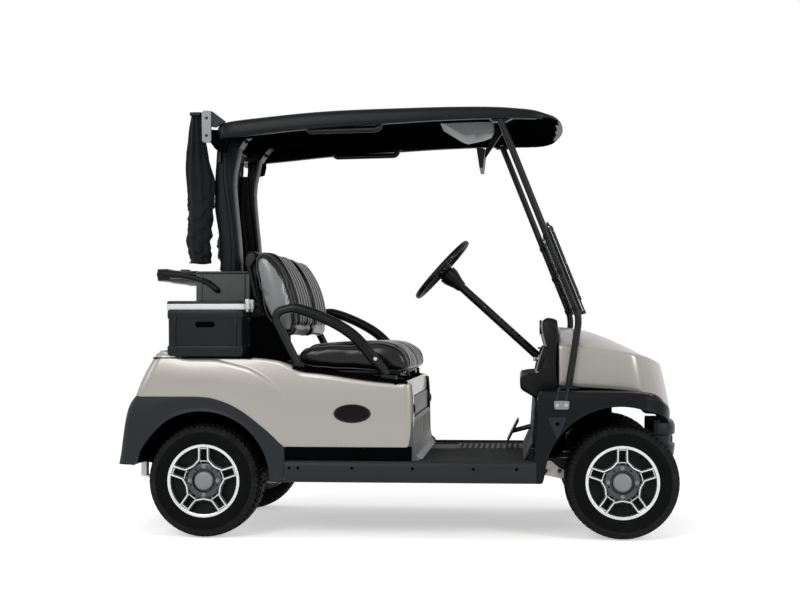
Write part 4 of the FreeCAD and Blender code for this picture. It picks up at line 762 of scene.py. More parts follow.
def buildArchLiner(name, arch, sweep, gap, section):
    # section rows are y and how far past the arch and its gap the liner stands there
    first, last, count = sweep
    bm = bmesh.new()
    rows = []
    for k in range(count + 1):
        turn = radians(between(first, last, k / count))
        rows.append([(arch[0] + (arch[2] + gap + grow) * cos(turn), y,
            arch[1] + (arch[2] + gap + grow) * sin(turn)) for y, grow in section])
    addGrid(bm, rows)
    bothSides(bm)
    placePiece(bm, name, [linerPlasticAndPaintedShade], sharp=40, thick=2)


def archPairs(shape, y):
    # points on a wing's lower and upper edge: up its end and over the wheel
    x0, z0, radius = shape["arch"]
    pairs = [(Vector((a[0], y, a[1])), Vector((b[0], y, b[1]))) for a, b in shape["start"]]
    for angle, x, z in shape["overArch"]:
        turn = radians(angle)
        pairs.append((Vector((x0 + radius * cos(turn), y, z0 + radius * sin(turn))), Vector((x, y, z))))
    return pairs


def wingX(share):
    # the back leans: how far forward of its lowest point, by height share
    return readTable([(0, 0), (0.3, 9), (0.76, 31), (0.9, 46), (1, 66)], share)


def buildWings():
    shape = wing
    arch = shape["arch"]
    pairs = archPairs(shape, 0)
    lower = smoothPath([a for a, b in pairs[2:]], 4)
    upper = smoothPath([b for a, b in pairs[2:]], 4)
    lower = [pairs[0][0], pairs[1][0]] + lower
    upper = [pairs[0][1], pairs[1][1]] + upper
    bm = bmesh.new()
    columns = []

    def column(a, b, outX, outY, ya, rearShare, lipped=True):
        points = []
        count = 14
        for k in range(count + 1):
            share = k / count
            x, z = between(a.x, b.x, share), between(a.z, b.z, share)
            # a rounded shoulder under the upper edge, and a flare down to the lip
            out = -9 * max(0, (share - 0.72) / 0.28) ** 2 + 3.5 * max(0, 1 - share * 6)
            heightShare = (z - shape["rearLow"]) / (shape["rearHigh"] - shape["rearLow"])
            forward = wingX(max(0, min(1, heightShare))) * rearShare
            points.append(Vector((x + forward + outX * out, ya + outY * out, z)))
        roll = Vector((outX, outY, 0))
        first, size = points[0], shape["lipRoll"]
        away = Vector((a.x - arch[0], 0, a.z - arch[1]))
        away = away.normalized() if lipped else Vector((0, 0, -1))
        below = [first - roll * 60 + away * 3, first - roll * size * 1.6 + away * 2,
            first - roll * size * 0.6 - away * 2.5, first - roll * 1.5 - away * 2]
        columns.append(below + points + stepped(points[-1], roll, [(2.5, 2), (9, 2.5), (30, 1)]))

    for i, (a, b) in enumerate(zip(lower, upper)):
        back = easeIn((-900 - b.x) / 128)
        column(a, b, 0, -1, -shape["half"], back * 0.85, lipped=i > 1)
    corner = shape["cornerRadius"]
    baseX = shape["rearX"]
    for turn in range(0, 91, 10):
        t = radians(turn)
        x = baseX + corner - corner * sin(t)
        y = -shape["half"] + corner - corner * cos(t)
        a = Vector((x, 0, shape["rearLow"]))
        column(a, Vector((x, 0, shape["rearHigh"])), -sin(t), -cos(t), y, 1, lipped=False)
    for k in range(1, 13):
        y = (-shape["half"] + corner) * (1 - k / 12)
        rise = 26 * easeIn((0.75 - abs(y) / 560) / 0.3)
        a = Vector((baseX, 0, shape["rearLow"] + rise))
        column(a, Vector((baseX, 0, shape["rearHigh"])), -1, 0, y, 1, lipped=False)
    addGrid(bm, columns)
    bothSides(bm)
    placePiece(bm, "rearWings", [charcoal], instead=["rear_underbody"], sharp=42, thick=4)

    buildArchLiner("rearArchLiners", arch, *shape["liner"])


buildWings()


# sills with a stepped tread along the top, and the dark band between sill and body

sill = {
    "x": (-449, 547),
    "section": [(-586, 227), (-594, 231), (-597, 240), (-597.2, 262), (-597, 292), (-594.5, 304),
        (-588, 312), (-578, 315.5), (-556, 316), (-520, 316), (-519, 300), (-524, 262), (-560, 229)],
    "band": [(-576, 308), (-585, 312), (-588.5, 320), (-588.5, 364), (-584, 371), (-572, 373), (-570, 340)],
    "ribs": 9,
    "screws": (-430, -395, -180, 60, 300, 470),
}


def buildSills():
    low, high = sill["x"]
    bm = bmesh.new()
    rows = []
    for k in range(41):
        x = between(low, high, k / 40)
        joint = 2.2 if abs(x - 5) < 14 else 0
        rows.append([(x, y + (joint if z < 300 else 0), z) for y, z in sill["section"]])
    addLoft(bm, rows)
    rows = [[(between(low, 57, k / 20), y, z) for y, z in sill["band"]] for k in range(21)]
    addLoft(bm, rows, 1)
    for k in range(sill["ribs"]):
        y = -574 + k * 6.2
        rows = [[(x, y + a, 315.6 + b) for a, b in ((-1.6, 0), (-1, 1.6), (1, 1.6), (1.6, 0))]
            for x in (76, 80, 300, 536, 540)]
        addLoft(bm, rows, 2)
    for x in sill["screws"]:
        addLathe(bm, [(0, 6.5), (-1.4, 5.6), (-1.8, 3.2), (-0.8, 2.6), (-0.8, 0.2)], (x, -597, 284), "Y", 14,
            1)
    bothSides(bm)
    placePiece(bm, "sillCovers", [charcoal, linerPlasticAndPaintedShade, matRubber], instead=["sills"], sharp=34)


buildSills()
print("rear body and sills ready")


# front cowl: painted nose with a crease along the side and an upright crease at the corner

cowl = {
    # x, y, lower z, upper z, how far the wall leans in by its top (x, y)
    "contour": [(641, -430, 612, 771, 0, 1), (700, -430.5, 606, 765, 0, 1), (780, -431, 601, 757, 0, 2),
        (860, -431, 596, 748, 2, 3), (915, -430, 590, 741, 8, 4), (950, -427, 586, 736, 14, 5),
        (974, -418, 583, 733, 20, 6), (993, -398, 580, 730, 24, 8), (1030, -345, 572, 722, 30, 8),
        (1066, -275, 548, 710, 36, 7), (1094, -200, 505, 700, 41, 4), (1112, -120, 482, 692, 43, 2),
        (1120, -55, 474, 688, 43, 0), (1123, 0, 473, 687, 43, 0)],
    "spine": [(640, 849), (700, 841), (770, 828), (860, 795), (960, 748), (1083, 686)],
    "pull": (900, 0.45),  # past this x the top's rows run towards the nose, by this share
    "topPower": 2.3,
}


def buildCowl():
    line = smoothPath([(c[0], c[1], 0) for c in cowl["contour"]], 5)
    lows = smoothPath([(c[2], c[3], c[4]) for c in cowl["contour"]], 5)
    leanY = smoothPath([(c[5], 0, 0) for c in cowl["contour"]], 5)
    count = len(line)
    columns = []
    for i in range(count):
        out = outward(line, i)
        if out.y > 0 and i < count * 0.7:
            out = -out
        base, (zl, zu, leanX) = line[i], lows[i]
        foot = Vector((base.x, base.y, zl))
        edge = Vector((base.x - leanX, base.y + leanY[i].x, zu))
        points = stepped(foot, out, [(34, 2), (8, -3), (2, -2)])
        for k in range(11):
            share = k / 10 * 0.972
            points.append(foot.lerp(edge, share) + out * 3.5 * sin(pi * share))
        start, pull = cowl["pull"]
        anchorX = edge.x if edge.x < start else start + (edge.x - start) * pull
        anchor = Vector((anchorX, 0, 0))
        for k, t in enumerate((0.004, 0.012, 0.024, 0.05, 0.1, 0.17, 0.25, 0.34, 0.44, 0.55, 0.66, 0.78, 0.9,
                1.0)):
            spot = edge.lerp(anchor, t)
            spine = readTable(cowl["spine"], spot.x)
            lift = 1 - (1 - t) ** cowl["topPower"]
            z = between(zu, max(spine, zu - 2), lift)
            if t < 0.02:
                z -= 1.6 * (0.024 - t) / 0.02
            points.append(Vector((spot.x, spot.y, z)))
        columns.append(points)
    bm = bmesh.new()
    addGrid(bm, columns)
    bothSides(bm)
    placePiece(bm, "frontCowlShell", [champagne], instead=["front_cowl"], sharp=50, thick=3)


buildCowl()


# front wings: the dark side panels that arch over the front wheels and wrap the nose

frontWing = {
    "half": 588,
    "arch": (878, 228.5, 303),
    "start": [((546, 228), (546, 432)), ((549, 227.5), (552, 545)), ((560, 227.5), (559, 578)),
        ((570, 230), (567, 584))],
    # the arch's angle with x, z on the upper edge
    "overArch": [(176, 574, 584), (170, 583, 584), (162, 597, 584), (153, 616, 584), (144, 640, 584),
        (134, 672, 584), (124, 708, 584), (113, 750, 584), (102, 800, 584), (91, 856, 583), (80, 912, 582),
        (70, 960, 579)],
    # past the arch: plan x, y with lower and upper z
    "nose": [(990, -583, 514, 574), (1020, -570, 503, 565), (1045, -550, 492, 552), (1062, -520, 480, 541),
        (1073, -480, 468, 533), (1080, -430, 458, 528), (1084, -380, 455, 524), (1086, -330, 455, 522)],
    "lipRoll": 10,
    "shelf": [(1, 2), (7, 3.5), (30, 5)],
    "shelfEnd": 436,
    "liner": ((178, 68, 22), 4, [(-577, 0), (-555, 4), (-500, 6), (-440, 4), (-400, -1), (-396, -10)]),
}


def buildFrontWings():
    shape = frontWing
    arch = shape["arch"]
    pairs = archPairs(shape, -shape["half"])
    for x, y, z0, z1 in shape["nose"]:
        pairs.append((Vector((x, y, z0)), Vector((x, y, z1))))
    lower = smoothPath([a for a, b in pairs], 4)
    upper = smoothPath([b for a, b in pairs], 4)
    count = len(lower)
    columns = []
    for i in range(count):
        out = outward(upper, i)
        a, b = lower[i], upper[i]
        points = []
        for k in range(13):
            s = k / 12
            swell = -8 * max(0, (s - 0.75) / 0.25) ** 2 + 3 * max(0, 1 - s * 5)
            points.append(a.lerp(b, s) + out * swell)
        away = Vector((a.x - arch[0], 0, a.z - arch[1])).normalized() if 14 < i else Vector((0, 0, -1))
        size = shape["lipRoll"]
        below = [points[0] - out * 42 + away * 3, points[0] - out * size + away * 1,
            points[0] - out * size * 0.4 - away * 1.5]
        above = stepped(points[-1], out, shape["shelf"])
        rim = points[-1]
        if rim.x < 1000:
            inner = Vector((rim.x, -shape["shelfEnd"], rim.z + 5))
        else:
            inner = rim - out * 52 + Vector((0, 0, 4))
        above.append(above[-1].lerp(inner, 0.5))
        above.append(inner)
        columns.append(below + points + above)
    bm = bmesh.new()
    addGrid(bm, columns)
    # the back edge turns in behind the front pillar
    rows = []
    for z in (229, 300, 400, 500, 575):
        x = readTable([(228, 546), (432, 546), (545, 552), (584, 566)], z)
        rows.append([(x, -588, z), (x + 1, -584, z), (x + 3, -560, z), (x + 5, -520, z), (x + 6, -470, z)])
    addGrid(bm, rows)
    bothSides(bm)
    # the front wings take the darkened charcoal, painted shade
    placePiece(bm, "frontWings", [charcoalPaintedShade], instead=["front_fenders"], sharp=42, thick=4)

    buildArchLiner("frontArchLiners", arch, *shape["liner"])

    # a moulded tub between the wheels, behind the axle
    bm = bmesh.new()
    addPlate(bm, [(566, 312), (576, 300), (640, 300), (664, 326), (676, 400), (704, 424), (850, 440),
        (866, 456), (866, 540), (850, 556), (574, 560), (566, 550)], -188, 188, "Y", 0, 10)
    for y in (-120, -40, 40, 120):
        addPlate(bm, [(600, 330), (660, 338), (676, 400), (666, 498), (640, 540), (600, 545)], y - 5, y + 5)
    placePiece(bm, "frontBulkhead", [linerPlasticAndPaintedShade], sharp=36)

    # foot plates of the front struts with the three-cornered recess and plug below them
    bm = bmesh.new()
    addPlate(bm, [(618, 524), (616, 549), (621, 553), (672, 553), (676, 549), (674, 524), (669, 520),
        (623, 520)], -594, -586)
    for x in (629, 663):
        addBolt(bm, (x, -594, 536), "Y", 5, -5, 2)
    addPlate(bm, [(598, 488), (660, 488), (664, 482), (634, 408), (626, 408), (594, 482)], -590.5, -580, "Y",
        1, 3)
    addPlate(bm, [(606, 481), (653, 481), (629, 421)], -592, -588, "Y", 3, 1.5)
    addLathe(bm, [(0, 8), (-3, 7), (-4, 4), (-2, 3), (-2, 0.2)], (629, -591, 462), "Y", 18, 4)
    for x in (628, 664):
        addTube(bm, smoothPath([(x, -590, 552), (x + 2, -583, 575), (x + 8, -560, 600)], 4), 6, 1, 8)
    bothSides(bm)
    placePiece(bm, "strutFeet", [greyPlastic, charcoal, steel, charcoal, linerPlasticAndPaintedShade], sharp=30)


buildFrontWings()


# front bumper: a moulded bar with a step and a row of slots below the nose

bumper = {
    "plan": [(1034, -216), (1060, -217), (1096, -205), (1118, -170), (1130, -110), (1135, -50), (1136, 0)],
    # z with how far out the moulding stands there
    "rows": [(300, -22), (302, -8), (308, -2), (330, 1), (352, 3), (356, -3), (360, -9), (392, -9),
        (396, -3), (400, 3), (428, 4), (444, 0), (452, -6), (455, -16), (456, -40)],
}


def buildBumper():
    line = smoothPath([(x, y, 0) for x, y in bumper["plan"]], 6)
    columns = []
    for i, spot in enumerate(line):
        out = outward(line, i) if i < len(line) - 1 else Vector((1, 0, 0))
        columns.append([Vector((spot.x, spot.y, z)) + out * d for z, d in bumper["rows"]])
    bm = bmesh.new()
    addGrid(bm, columns)
    for k in range(7):
        y = -150 + k * 25
        x = readTable([(-170, 1118), (-110, 1130), (-50, 1135), (0, 1136)], y)
        addBox(bm, (x - 14, y - 7, 364), (x - 6.5, y + 7, 388), 1)
    bothSides(bm)
    placePiece(bm, "frontBumperMoulding", [charcoal, linerPlasticAndPaintedShade], instead=["front_bumper"], sharp=35,
        thick=3)


buildBumper()
print("front body ready")


# roof: a crowned shell with a gutter, a deep side band and a framed underside

roof = {
    "outline": [(-765, 0), (-765, -150), (-764, -300), (-761, -400), (-752, -445), (-728, -468),
        (-690, -474), (-600, -475), (-300, -475), (0, -475), (300, -475), (440, -474), (520, -469),
        (575, -455), (612, -425), (636, -370), (652, -280), (662, -180), (668, -90), (670, 0)],
    "lower": [(-765, 1613), (-613, 1627), (-377, 1649), (-86, 1666), (160, 1679), (400, 1684), (540, 1683),
        (610, 1684), (670, 1687)],
    "upper": [(-765, 1673), (-711, 1683), (-569, 1699), (-387, 1716), (-254, 1724), (-45, 1730), (237, 1734),
        (400, 1731), (480, 1725), (547, 1718), (603, 1706), (640, 1702), (670, 1701)],
    "crown": [(-765, 1690), (-569, 1717), (-254, 1740), (0, 1746), (237, 1747), (451, 1741), (600, 1724),
        (670, 1704)],
    "pull": 0.72,
    "middle": -47,
}


def buildRoof():
    half = evenPath(smoothPath([(x, y, 0) for x, y in roof["outline"]], 6), 96)
    columns = []
    for i, spot in enumerate(half):
        out = outward(half, i)
        if i == 0:
            out = Vector((-1, 0, 0))
        if i == len(half) - 1:
            out = Vector((1, 0, 0))
        zl, zu = readTable(roof["lower"], spot.x), readTable(roof["upper"], spot.x)
        tall = zu - zl
        anchor = Vector((roof["middle"] + (spot.x - roof["middle"]) * roof["pull"], 0, 0))
        inner = spot - out * 44
        points = []
        for t in (1, 0.75, 0.5, 0.25, 0.08):
            under = inner.lerp(anchor, t)
            points.append(Vector((under.x, under.y, zl + min(46, tall * 0.7) + 5 * t)))
        for inset, z in ((44, zl + min(44, tall * 0.66)), (40, zl + min(34, tall * 0.5)), (34, zl + 8),
                (30, zl + 2), (24, zl), (8, zl), (3, zl + 1.5), (0.8, zl + 5), (0, zl + tall * 0.3),
                (0.4, zl + tall * 0.62), (2.5, zu - tall * 0.2), (6, zu - tall * 0.07), (11, zu),
                (17, zu + 1.5), (21, zu), (25, zu - 3.5), (34, zu - 3.5), (38, zu + 1), (43, zu + 3)):
            p = spot - out * inset
            points.append(Vector((p.x, p.y, z)))
        rim = spot - out * 43
        for t in (0.06, 0.14, 0.24, 0.36, 0.5, 0.65, 0.82, 1.0):
            p = rim.lerp(anchor, t)
            top = readTable(roof["crown"], p.x)
            lift = 1 - (1 - t) ** 2.0
            points.append(Vector((p.x, p.y, between(zu + 3, max(top, zu + 3), lift))))
        columns.append(points)
    bm = bmesh.new()
    addGrid(bm, columns)
    # the underside, inside the rim, takes the near-black liner: painted shade where the roof faces down
    bm.normal_update()
    crown = max(bm.faces, key=lambda face: face.calc_center_median().z)
    for face in bm.faces:
        spot = face.calc_center_median()
        if face.normal.z * crown.normal.z < 0 and spot.y > -446 and -735 < spot.x < 642:
            face.material_index = 1
    bothSides(bm)
    placePiece(bm, "roofShell", [roofPlastic, linerPlasticAndPaintedShade], instead=["roof_canopy"], sharp=36)


def buildRoofFittings():
    bm = bmesh.new()
    # moulded beams under the roof: two lengthwise, two across, in the near-black liner as painted shade
    for y in (-372, 372):
        rows = [[(x, y + dy, readTable(roof["lower"], x) + dz) for dy, dz in ((-26, 44), (-20, 8), (-14, 3),
            (14, 3), (20, 8), (26, 44))] for x in (-700, -600, -450, -300, -150, 0, 150, 300, 430, 520)]
        addLoft(bm, rows, 4)
    for x in (-690, 455):
        rows = [[(x + dx, y, readTable(roof["lower"], x) + dz) for dx, dz in ((-30, 46), (-22, 12), (-14, 7),
            (14, 7), (22, 12), (30, 46))] for y in (-350, -250, -100, 0, 100, 250, 350)]
        addLoft(bm, rows, 4)
    # bosses that hold the heads of the front struts
    for side in (-1, 1):
        addPlate(bm, [(352, 1716), (360, 1688), (380, 1673), (428, 1673), (462, 1690), (470, 1716)],
            side * 438 - 22, side * 438 + 22, "Y", 0, 5)
        addLathe(bm, [(side * -24, 10), (side * -26, 9), (side * -26, 1)], (402, side * 440, 1694), "Y", 16,
            1)
        # corner brackets at the back, with the track that the bag covers hang from
        addPlate(bm, [(-812, 1606), (-814, 1722), (-806, 1731), (-784, 1730), (-776, 1722), (-776, 1606),
            (-784, 1600), (-804, 1600)], side * 462 - 8, side * 462 + 8, "Y", 2, 3)
        addPlate(bm, [(-792, 1731), (-770, 1727), (-716, 1686), (-758, 1662), (-790, 1668)], side * 456 - 7,
            side * 456 + 7, "Y", 3, 3)
        for z in (1628, 1700):
            addBolt(bm, (-794, side * 470, z), "Y", 4.5, side * 4, 3)
        # gusset from the bracket to the head of the post
        addPlate(bm, [(-792, 1656), (-784, 1604), (-758, 1572), (-732, 1556), (-712, 1562), (-704, 1600),
            (-706, 1650)], side * 446 - 5, side * 446 + 5, "Y", 4)
        # braces between the roof and the heads of the rear posts
        for k in range(3):
            start = (-748 + 22 * k, side * 242, 1655 + 6 * k)
            addTube(bm, smoothPath([start, (start[0] + 16, side * 242, start[2] - 18),
                (start[0] + 34, side * 243, start[2] - 44)], 3), 4, 3, 8)
        addPlate(bm, [(-800, 1600), (-806, 1648), (-700, 1660), (-640, 1662), (-668, 1636), (-690, 1600)],
            side * 245 - 46, side * 245 + 46, "Y", 0, 5)
    addTube(bm, [(-790, -455, 1716), (-796, -300, 1720), (-798, 0, 1721), (-796, 300, 1720),
        (-790, 455, 1716)], 8)
    placePiece(bm, "roofFittings", [roofPlastic, steel, greyPlastic, charcoal, linerPlasticAndPaintedShade], sharp=32)

    # console for the mirror, a wedge that hangs from the front of the ceiling
    bm = bmesh.new()
    rows = []
    for y, shrink in ((-142, 14), (-138, 4), (-120, 0), (0, 0), (120, 0), (138, 4), (142, 14)):
        rows.append([(132 + shrink, y, 1738), (150 + shrink, y, 1716), (236, y, 1664 + shrink),
            (258, y, 1657 + shrink), (330, y, 1672 + shrink), (372 - shrink, y, 1690), (378 - shrink, y,
            1738)])
    addLoft(bm, rows)
    placePiece(bm, "mirrorConsole", [greyPlastic], sharp=32)


buildRoof()
buildRoofFittings()
print("roof ready")


# rear posts: open channels with a rib down the face and a slot near the top

post = {
    "y": 245,
    "front": [(1614, -690), (1560, -700), (1461, -717), (1348, -709), (1200, -694), (1100, -690),
        (722, -690)],
    "rear": [(1614, -789), (1540, -793), (1461, -798), (1348, -799), (1270, -786), (1168, -775),
        (1100, -772), (722, -790)],
    "rib": [(1614, -752), (1461, -748), (1348, -733), (1200, -716), (1100, -712), (722, -720)],
    "slot": (-789, -768, 1540, 1598),
}


def buildPosts():
    bm = bmesh.new()
    heights = [722, 760, 850, 950, 1040, 1100, 1150, 1200, 1250, 1300, 1348, 1400, 1450, 1500, 1530, 1540,
        1555, 1570, 1585, 1598, 1608, 1614]
    rows = []
    for z in heights:
        front, rear = readTable(post["front"], z), readTable(post["rear"], z)
        rib = readTable(post["rib"], z)
        rows.append([(rear + 8, 48, z), (rear + 2, 46, z), (rear, 40, z), (rear, -30, z), (rear + 2, -40, z),
            (rear + 8, -44, z), (rear + 29, -44, z), (rib - 12, -44, z), (rib - 8, -50, z),
            (rib + 4, -50, z), (rib + 9, -44, z), (front - 9, -43, z), (front - 2, -39, z), (front, -30, z),
            (front, 40, z), (front - 2, 46, z), (front - 8, 48, z)])
    for side in (-1, 1):
        turned = [[(x, side * (post["y"] - y), z) for x, y, z in row] for row in rows]
        made = addGrid(bm, turned)
        holes = set()
        for i, z in enumerate(heights[:-1]):
            if post["slot"][2] <= z < post["slot"][3]:
                low, high = made[i][5], made[i + 1][6]
                for face in low.link_faces:
                    if made[i][6] in face.verts and high in face.verts:
                        holes.add(face)
        bmesh.ops.delete(bm, geom=list(holes), context="FACES_ONLY")
    placePiece(bm, "rearPosts", [charcoalPaintedShade], instead=["rear_struts"], sharp=34, thick=4)
    bm = bmesh.new()
    for side in (-1, 1):
        addBox(bm, (-812, side * 245 - 52, 720), (-680, side * 245 + 52, 730))
        for x in (-798, -694):
            for y in (-38, 38):
                addBolt(bm, (x, side * 245 + y, 730), "Z", 7, 7)
    placePiece(bm, "postFeet", [darkSteel], sharp=30)


buildPosts()


# bag covers: rain covers that hang gathered from the back corners of the roof

cover = {
    "y": 318,
    # z with the rear and front x there, and half the width across
    "outline": [(1739, -888, -842, 34), (1690, -898, -836, 44), (1633, -905, -830, 50), (1580, -913, -820,
        54), (1530, -916, -811, 56), (1468, -913, -790, 60), (1430, -909, -787, 60), (1365, -906, -789, 58),
        (1290, -907, -796, 57), (1199, -909, -802, 56), (1150, -903, -803, 54), (1125, -898, -802, 53),
        (1112, -897, -803, 52)],
    "folds": 9,
    "foldDepth": 0.16,
    "crinkleTop": 1380,
    "crinkle": 6.5,
    "around": 108,
    "along": 130,
    "cutWidth": 0.42,  # metres, before it is gathered
}


def buildCover(side, name):
    bm = bmesh.new()
    rows = []
    low, high = cover["outline"][-1][0], cover["outline"][0][0]
    for i in range(cover["along"] + 1):
        z = between(high, low, i / cover["along"])
        rear = readTable([(r[0], r[1]) for r in cover["outline"]], z)
        front = readTable([(r[0], r[2]) for r in cover["outline"]], z)
        half = readTable([(r[0], r[3]) for r in cover["outline"]], z)
        loose = easeIn((z - cover["crinkleTop"] + 60) / 120)
        row = []
        for turn in turns(cover["around"]):
            wander = 0.5 * sin(z * 0.011 + side) + 0.25 * sin(z * 0.023)
            pleat = cos(cover["folds"] * turn + wander * 2.2 + side)
            sharp = copysign(abs(pleat) ** 0.7, pleat)
            size = 1 - cover["foldDepth"] * between(0.35, 1, loose) * (0.5 - 0.5 * sharp)
            x = (rear + front) / 2 + (front - rear) / 2 * cos(turn) * size
            y = side * cover["y"] + half * sin(turn) * size
            # crumpled cloth in the lower part
            spot = Vector((x * 0.016, y * 0.016, z * 0.032 + side * 7))
            crumple = noise.noise(spot) + 0.5 * noise.noise(spot * 2.3)
            push = cover["crinkle"] * (1 - loose * 0.75) * (crumple - 0.45)
            ridge = 3.0 * (1 - loose) * sin(z * 0.095 + 3 * sin(turn * 2 + side) + 2 * crumple)
            row.append((x + cos(turn) * (push + ridge), y + sin(turn) * (push + ridge) * 0.8, z))
        rows.append(row)
    addGrid(bm, rows, around=True)
    piece = placePiece(bm, name, [coverCloth], sharp=80, thick=1.2, instead=["bag_covers"]
        if side < 0 else [])


def buildCoverTrims():
    for side, name in ((-1, "bagCoverHemRight"), (1, "bagCoverHemLeft")):
        bm = bmesh.new()
        path = []
        for turn in turns(36):
            path.append((-850 + 44 * cos(turn), side * 318 + 46 * sin(turn), 1114 + 1.5 * sin(3 * turn)))
        addTube(bm, path, 3.2, 0, 8, closed=True)
        # the head clamp that holds the gathered cloth at the roof
        addPlate(bm, [(-890, -36), (-884, -44), (-846, -44), (-840, -36), (-840, 36), (-846, 44), (-884, 44),
            (-890, 36)], 1728, 1741, "Z", 1, 3)
        for v in bm.verts:
            if v.co.z > 1700:
                v.co.y += side * 318
        addTube(bm, [(-846, side * 330, 1734), (-810, side * 400, 1732), (-794, side * 452, 1722)], 6, 1, 10)
        placePiece(bm, name, [coverCloth, blackPlastic], sharp=35)


buildCover(-1, "bagCoverRight")
buildCover(1, "bagCoverLeft")
buildCoverTrims()
print("posts and covers ready")


# seats: stuffed covers blown up by cloth simulation, then sewn channels and piping

seat = {
    "bottomOutline": [(-402, 690), (-405, 722), (-378, 752), (-300, 765), (-190, 774), (-105, 775),
        (-50, 768), (-10, 750), (16, 722), (27, 692), (27, 668), (12, 654), (-60, 654), (-200, 658),
        (-340, 674)],
    "backOutline": [(-438, 824), (-462, 818), (-536, 884), (-570, 966), (-590, 1090), (-586, 1120),
        (-566, 1138), (-534, 1130), (-494, 1086), (-456, 1020), (-434, 950), (-426, 890), (-427, 846)],
    "bottomHalf": 484,
    "backSpan": (20, 482),
    "voxel": 10.0,
    "smoothing": 18,
    "cloth": {"quality": 4, "mass": 0.25, "tension_stiffness": 14, "compression_stiffness": 14,
        "shear_stiffness": 6, "bending_stiffness": 0.6},
    "pressure": 3.0,
    "frames": 14,
    "bottomCap": 10,
    "backCap": 9,
    "channelPitch": 74,
    "channelDepth": 11,
    "channelWidth": 9,
    "bottomSize": ((-414, -494, 652), (37, 494, 786)),
    "backSize": ((-600, -414), (808, 1150)),
    "insets": [(62, 436)],  # the sewn part of each place, in y from the middle
}


def drawnIn(outline, middle, y, inset):
    # the outline at y, drawn in towards its middle
    row = []
    for point in outline:
        away = point - middle
        spot = middle + away * max(0.0, 1 - inset / max(away.length, 1))
        row.append((spot.x, y, spot.z))
    return row


def cushionForm(bm, outline, low, high, ends=(30, 14, 5, 0)):
    # rows across the cushion, narrowing in at both ends
    closed = evenOutline(outline, 5, 72)
    middle = sum(closed, Vector()) / len(closed)
    steps = list(zip((0, 6, 18, 38), ends))
    stations = [(low + d, inset) for d, inset in steps]
    count = 18
    stations += [(between(low + 38, high - 38, k / count), 0) for k in range(1, count)]
    stations += [(high - d, inset) for d, inset in reversed(steps)]
    addLoft(bm, [drawnIn(closed, middle, y, inset) for y, inset in stations])


def settle(piece):
    # applies the piece's modifiers to its mesh
    graph = bpy.context.evaluated_depsgraph_get()
    made = bpy.data.meshes.new_from_object(piece.evaluated_get(graph))
    piece.modifiers.clear()
    old = piece.data
    piece.data = made
    bpy.data.meshes.remove(old)


def soften(piece, times):
    ease = piece.modifiers.new("ease", "SMOOTH")
    ease.factor = 0.5
    ease.iterations = times
    settle(piece)


def puffUp(piece, cap):
    # remesh, fill by cloth pressure and keep each point within cap of where it began
    remesh = piece.modifiers.new("even", "REMESH")
    remesh.mode = "VOXEL"
    remesh.voxel_size = seat["voxel"] * 0.001
    remesh.use_smooth_shade = True
    soften(piece, seat["smoothing"])
    begin = [v.co.copy() for v in piece.data.vertices]
    cloth = piece.modifiers.new("stuffing", "CLOTH")
    settings = cloth.settings
    for name, value in seat["cloth"].items():
        setattr(settings, name, value)
    settings.use_pressure = True
    settings.uniform_pressure_force = seat["pressure"]
    settings.effector_weights.gravity = 0
    cloth.collision_settings.use_collision = False
    cloth.collision_settings.use_self_collision = False
    cloth.point_cache.frame_start = 1
    cloth.point_cache.frame_end = seat["frames"]
    for number in range(1, seat["frames"] + 1):
        scene.frame_set(number)
    settle(piece)
    limit = cap * 0.001
    for v, start in zip(piece.data.vertices, begin):
        move = v.co - start
        if move.length > limit:
            v.co = start + move * (limit / move.length)
    scene.frame_set(1)


def refine(piece):
    # one subdivision, applied, so that seams can be pressed into the mesh
    rounding = piece.modifiers.new("rounding", "SUBSURF")
    rounding.levels = 1
    rounding.render_levels = 1
    settle(piece)
    piece.data.shade_smooth()


def channelPress(across, low, high):
    # how far a point sinks (in mm) at this place across the channels
    pitch, width, depth = seat["channelPitch"], seat["channelWidth"], seat["channelDepth"]
    count = max(1, round((high - low) / pitch))
    step = (high - low) / count
    if across < low - 12 or across > high + 12:
        return 0
    nearest = low + step * round((across - low) / step)
    nearest = min(max(nearest, low), high)
    away = abs(across - nearest)
    valley = depth * exp(-(away / width) ** 2)
    hill = 0
    if low < across < high:
        hill = 3.5 * sin(pi * ((across - low) / step % 1)) ** 2
    return valley - hill


def edgeDistance(outline, x, z):
    # distance in mm to the nearest side of a closed outline, negative outside it
    nearest = 1e9
    within = False
    for (x0, z0), (x1, z1) in zip(outline, outline[1:] + outline[:1]):
        along = Vector((x1 - x0, z1 - z0))
        share = max(0, min(1, Vector((x - x0, z - z0)).dot(along) / along.length_squared))
        nearest = min(nearest, hypot(x - x0 - along.x * share, z - z0 - along.y * share))
        if (z0 > z) != (z1 > z) and x < x0 + (z - z0) / (z1 - z0) * (x1 - x0):
            within = not within
    return nearest if within else -nearest


def fitTo(piece, low, high):
    # stretch the blown cushion to its finished size, in mm
    points = [v.co * 1000 for v in piece.data.vertices]
    small = [min(p[i] for p in points) for i in range(3)]
    large = [max(p[i] for p in points) for i in range(3)]
    places = []
    for p in points:
        for i in range(3):
            share = (p[i] - small[i]) / (large[i] - small[i])
            places.append(between(low[i], high[i], share) * 0.001)
    piece.data.vertices.foreach_set("co", places)
    piece.data.update()


def pressIn(piece, shift):
    # shift(x, y, z, facing) gives how far each point sinks, in mm, and its new height or None
    mesh = piece.data
    facings = [v.normal.copy() for v in mesh.vertices]
    places = []
    for v, facing in zip(mesh.vertices, facings):
        x, y, z = v.co * 1000
        sink, height = shift(x, y, z, facing)
        spot = v.co - facing * sink * 0.001
        if height is not None:
            spot.z = height
        places.extend(spot)
    mesh.vertices.foreach_set("co", places)
    mesh.update()


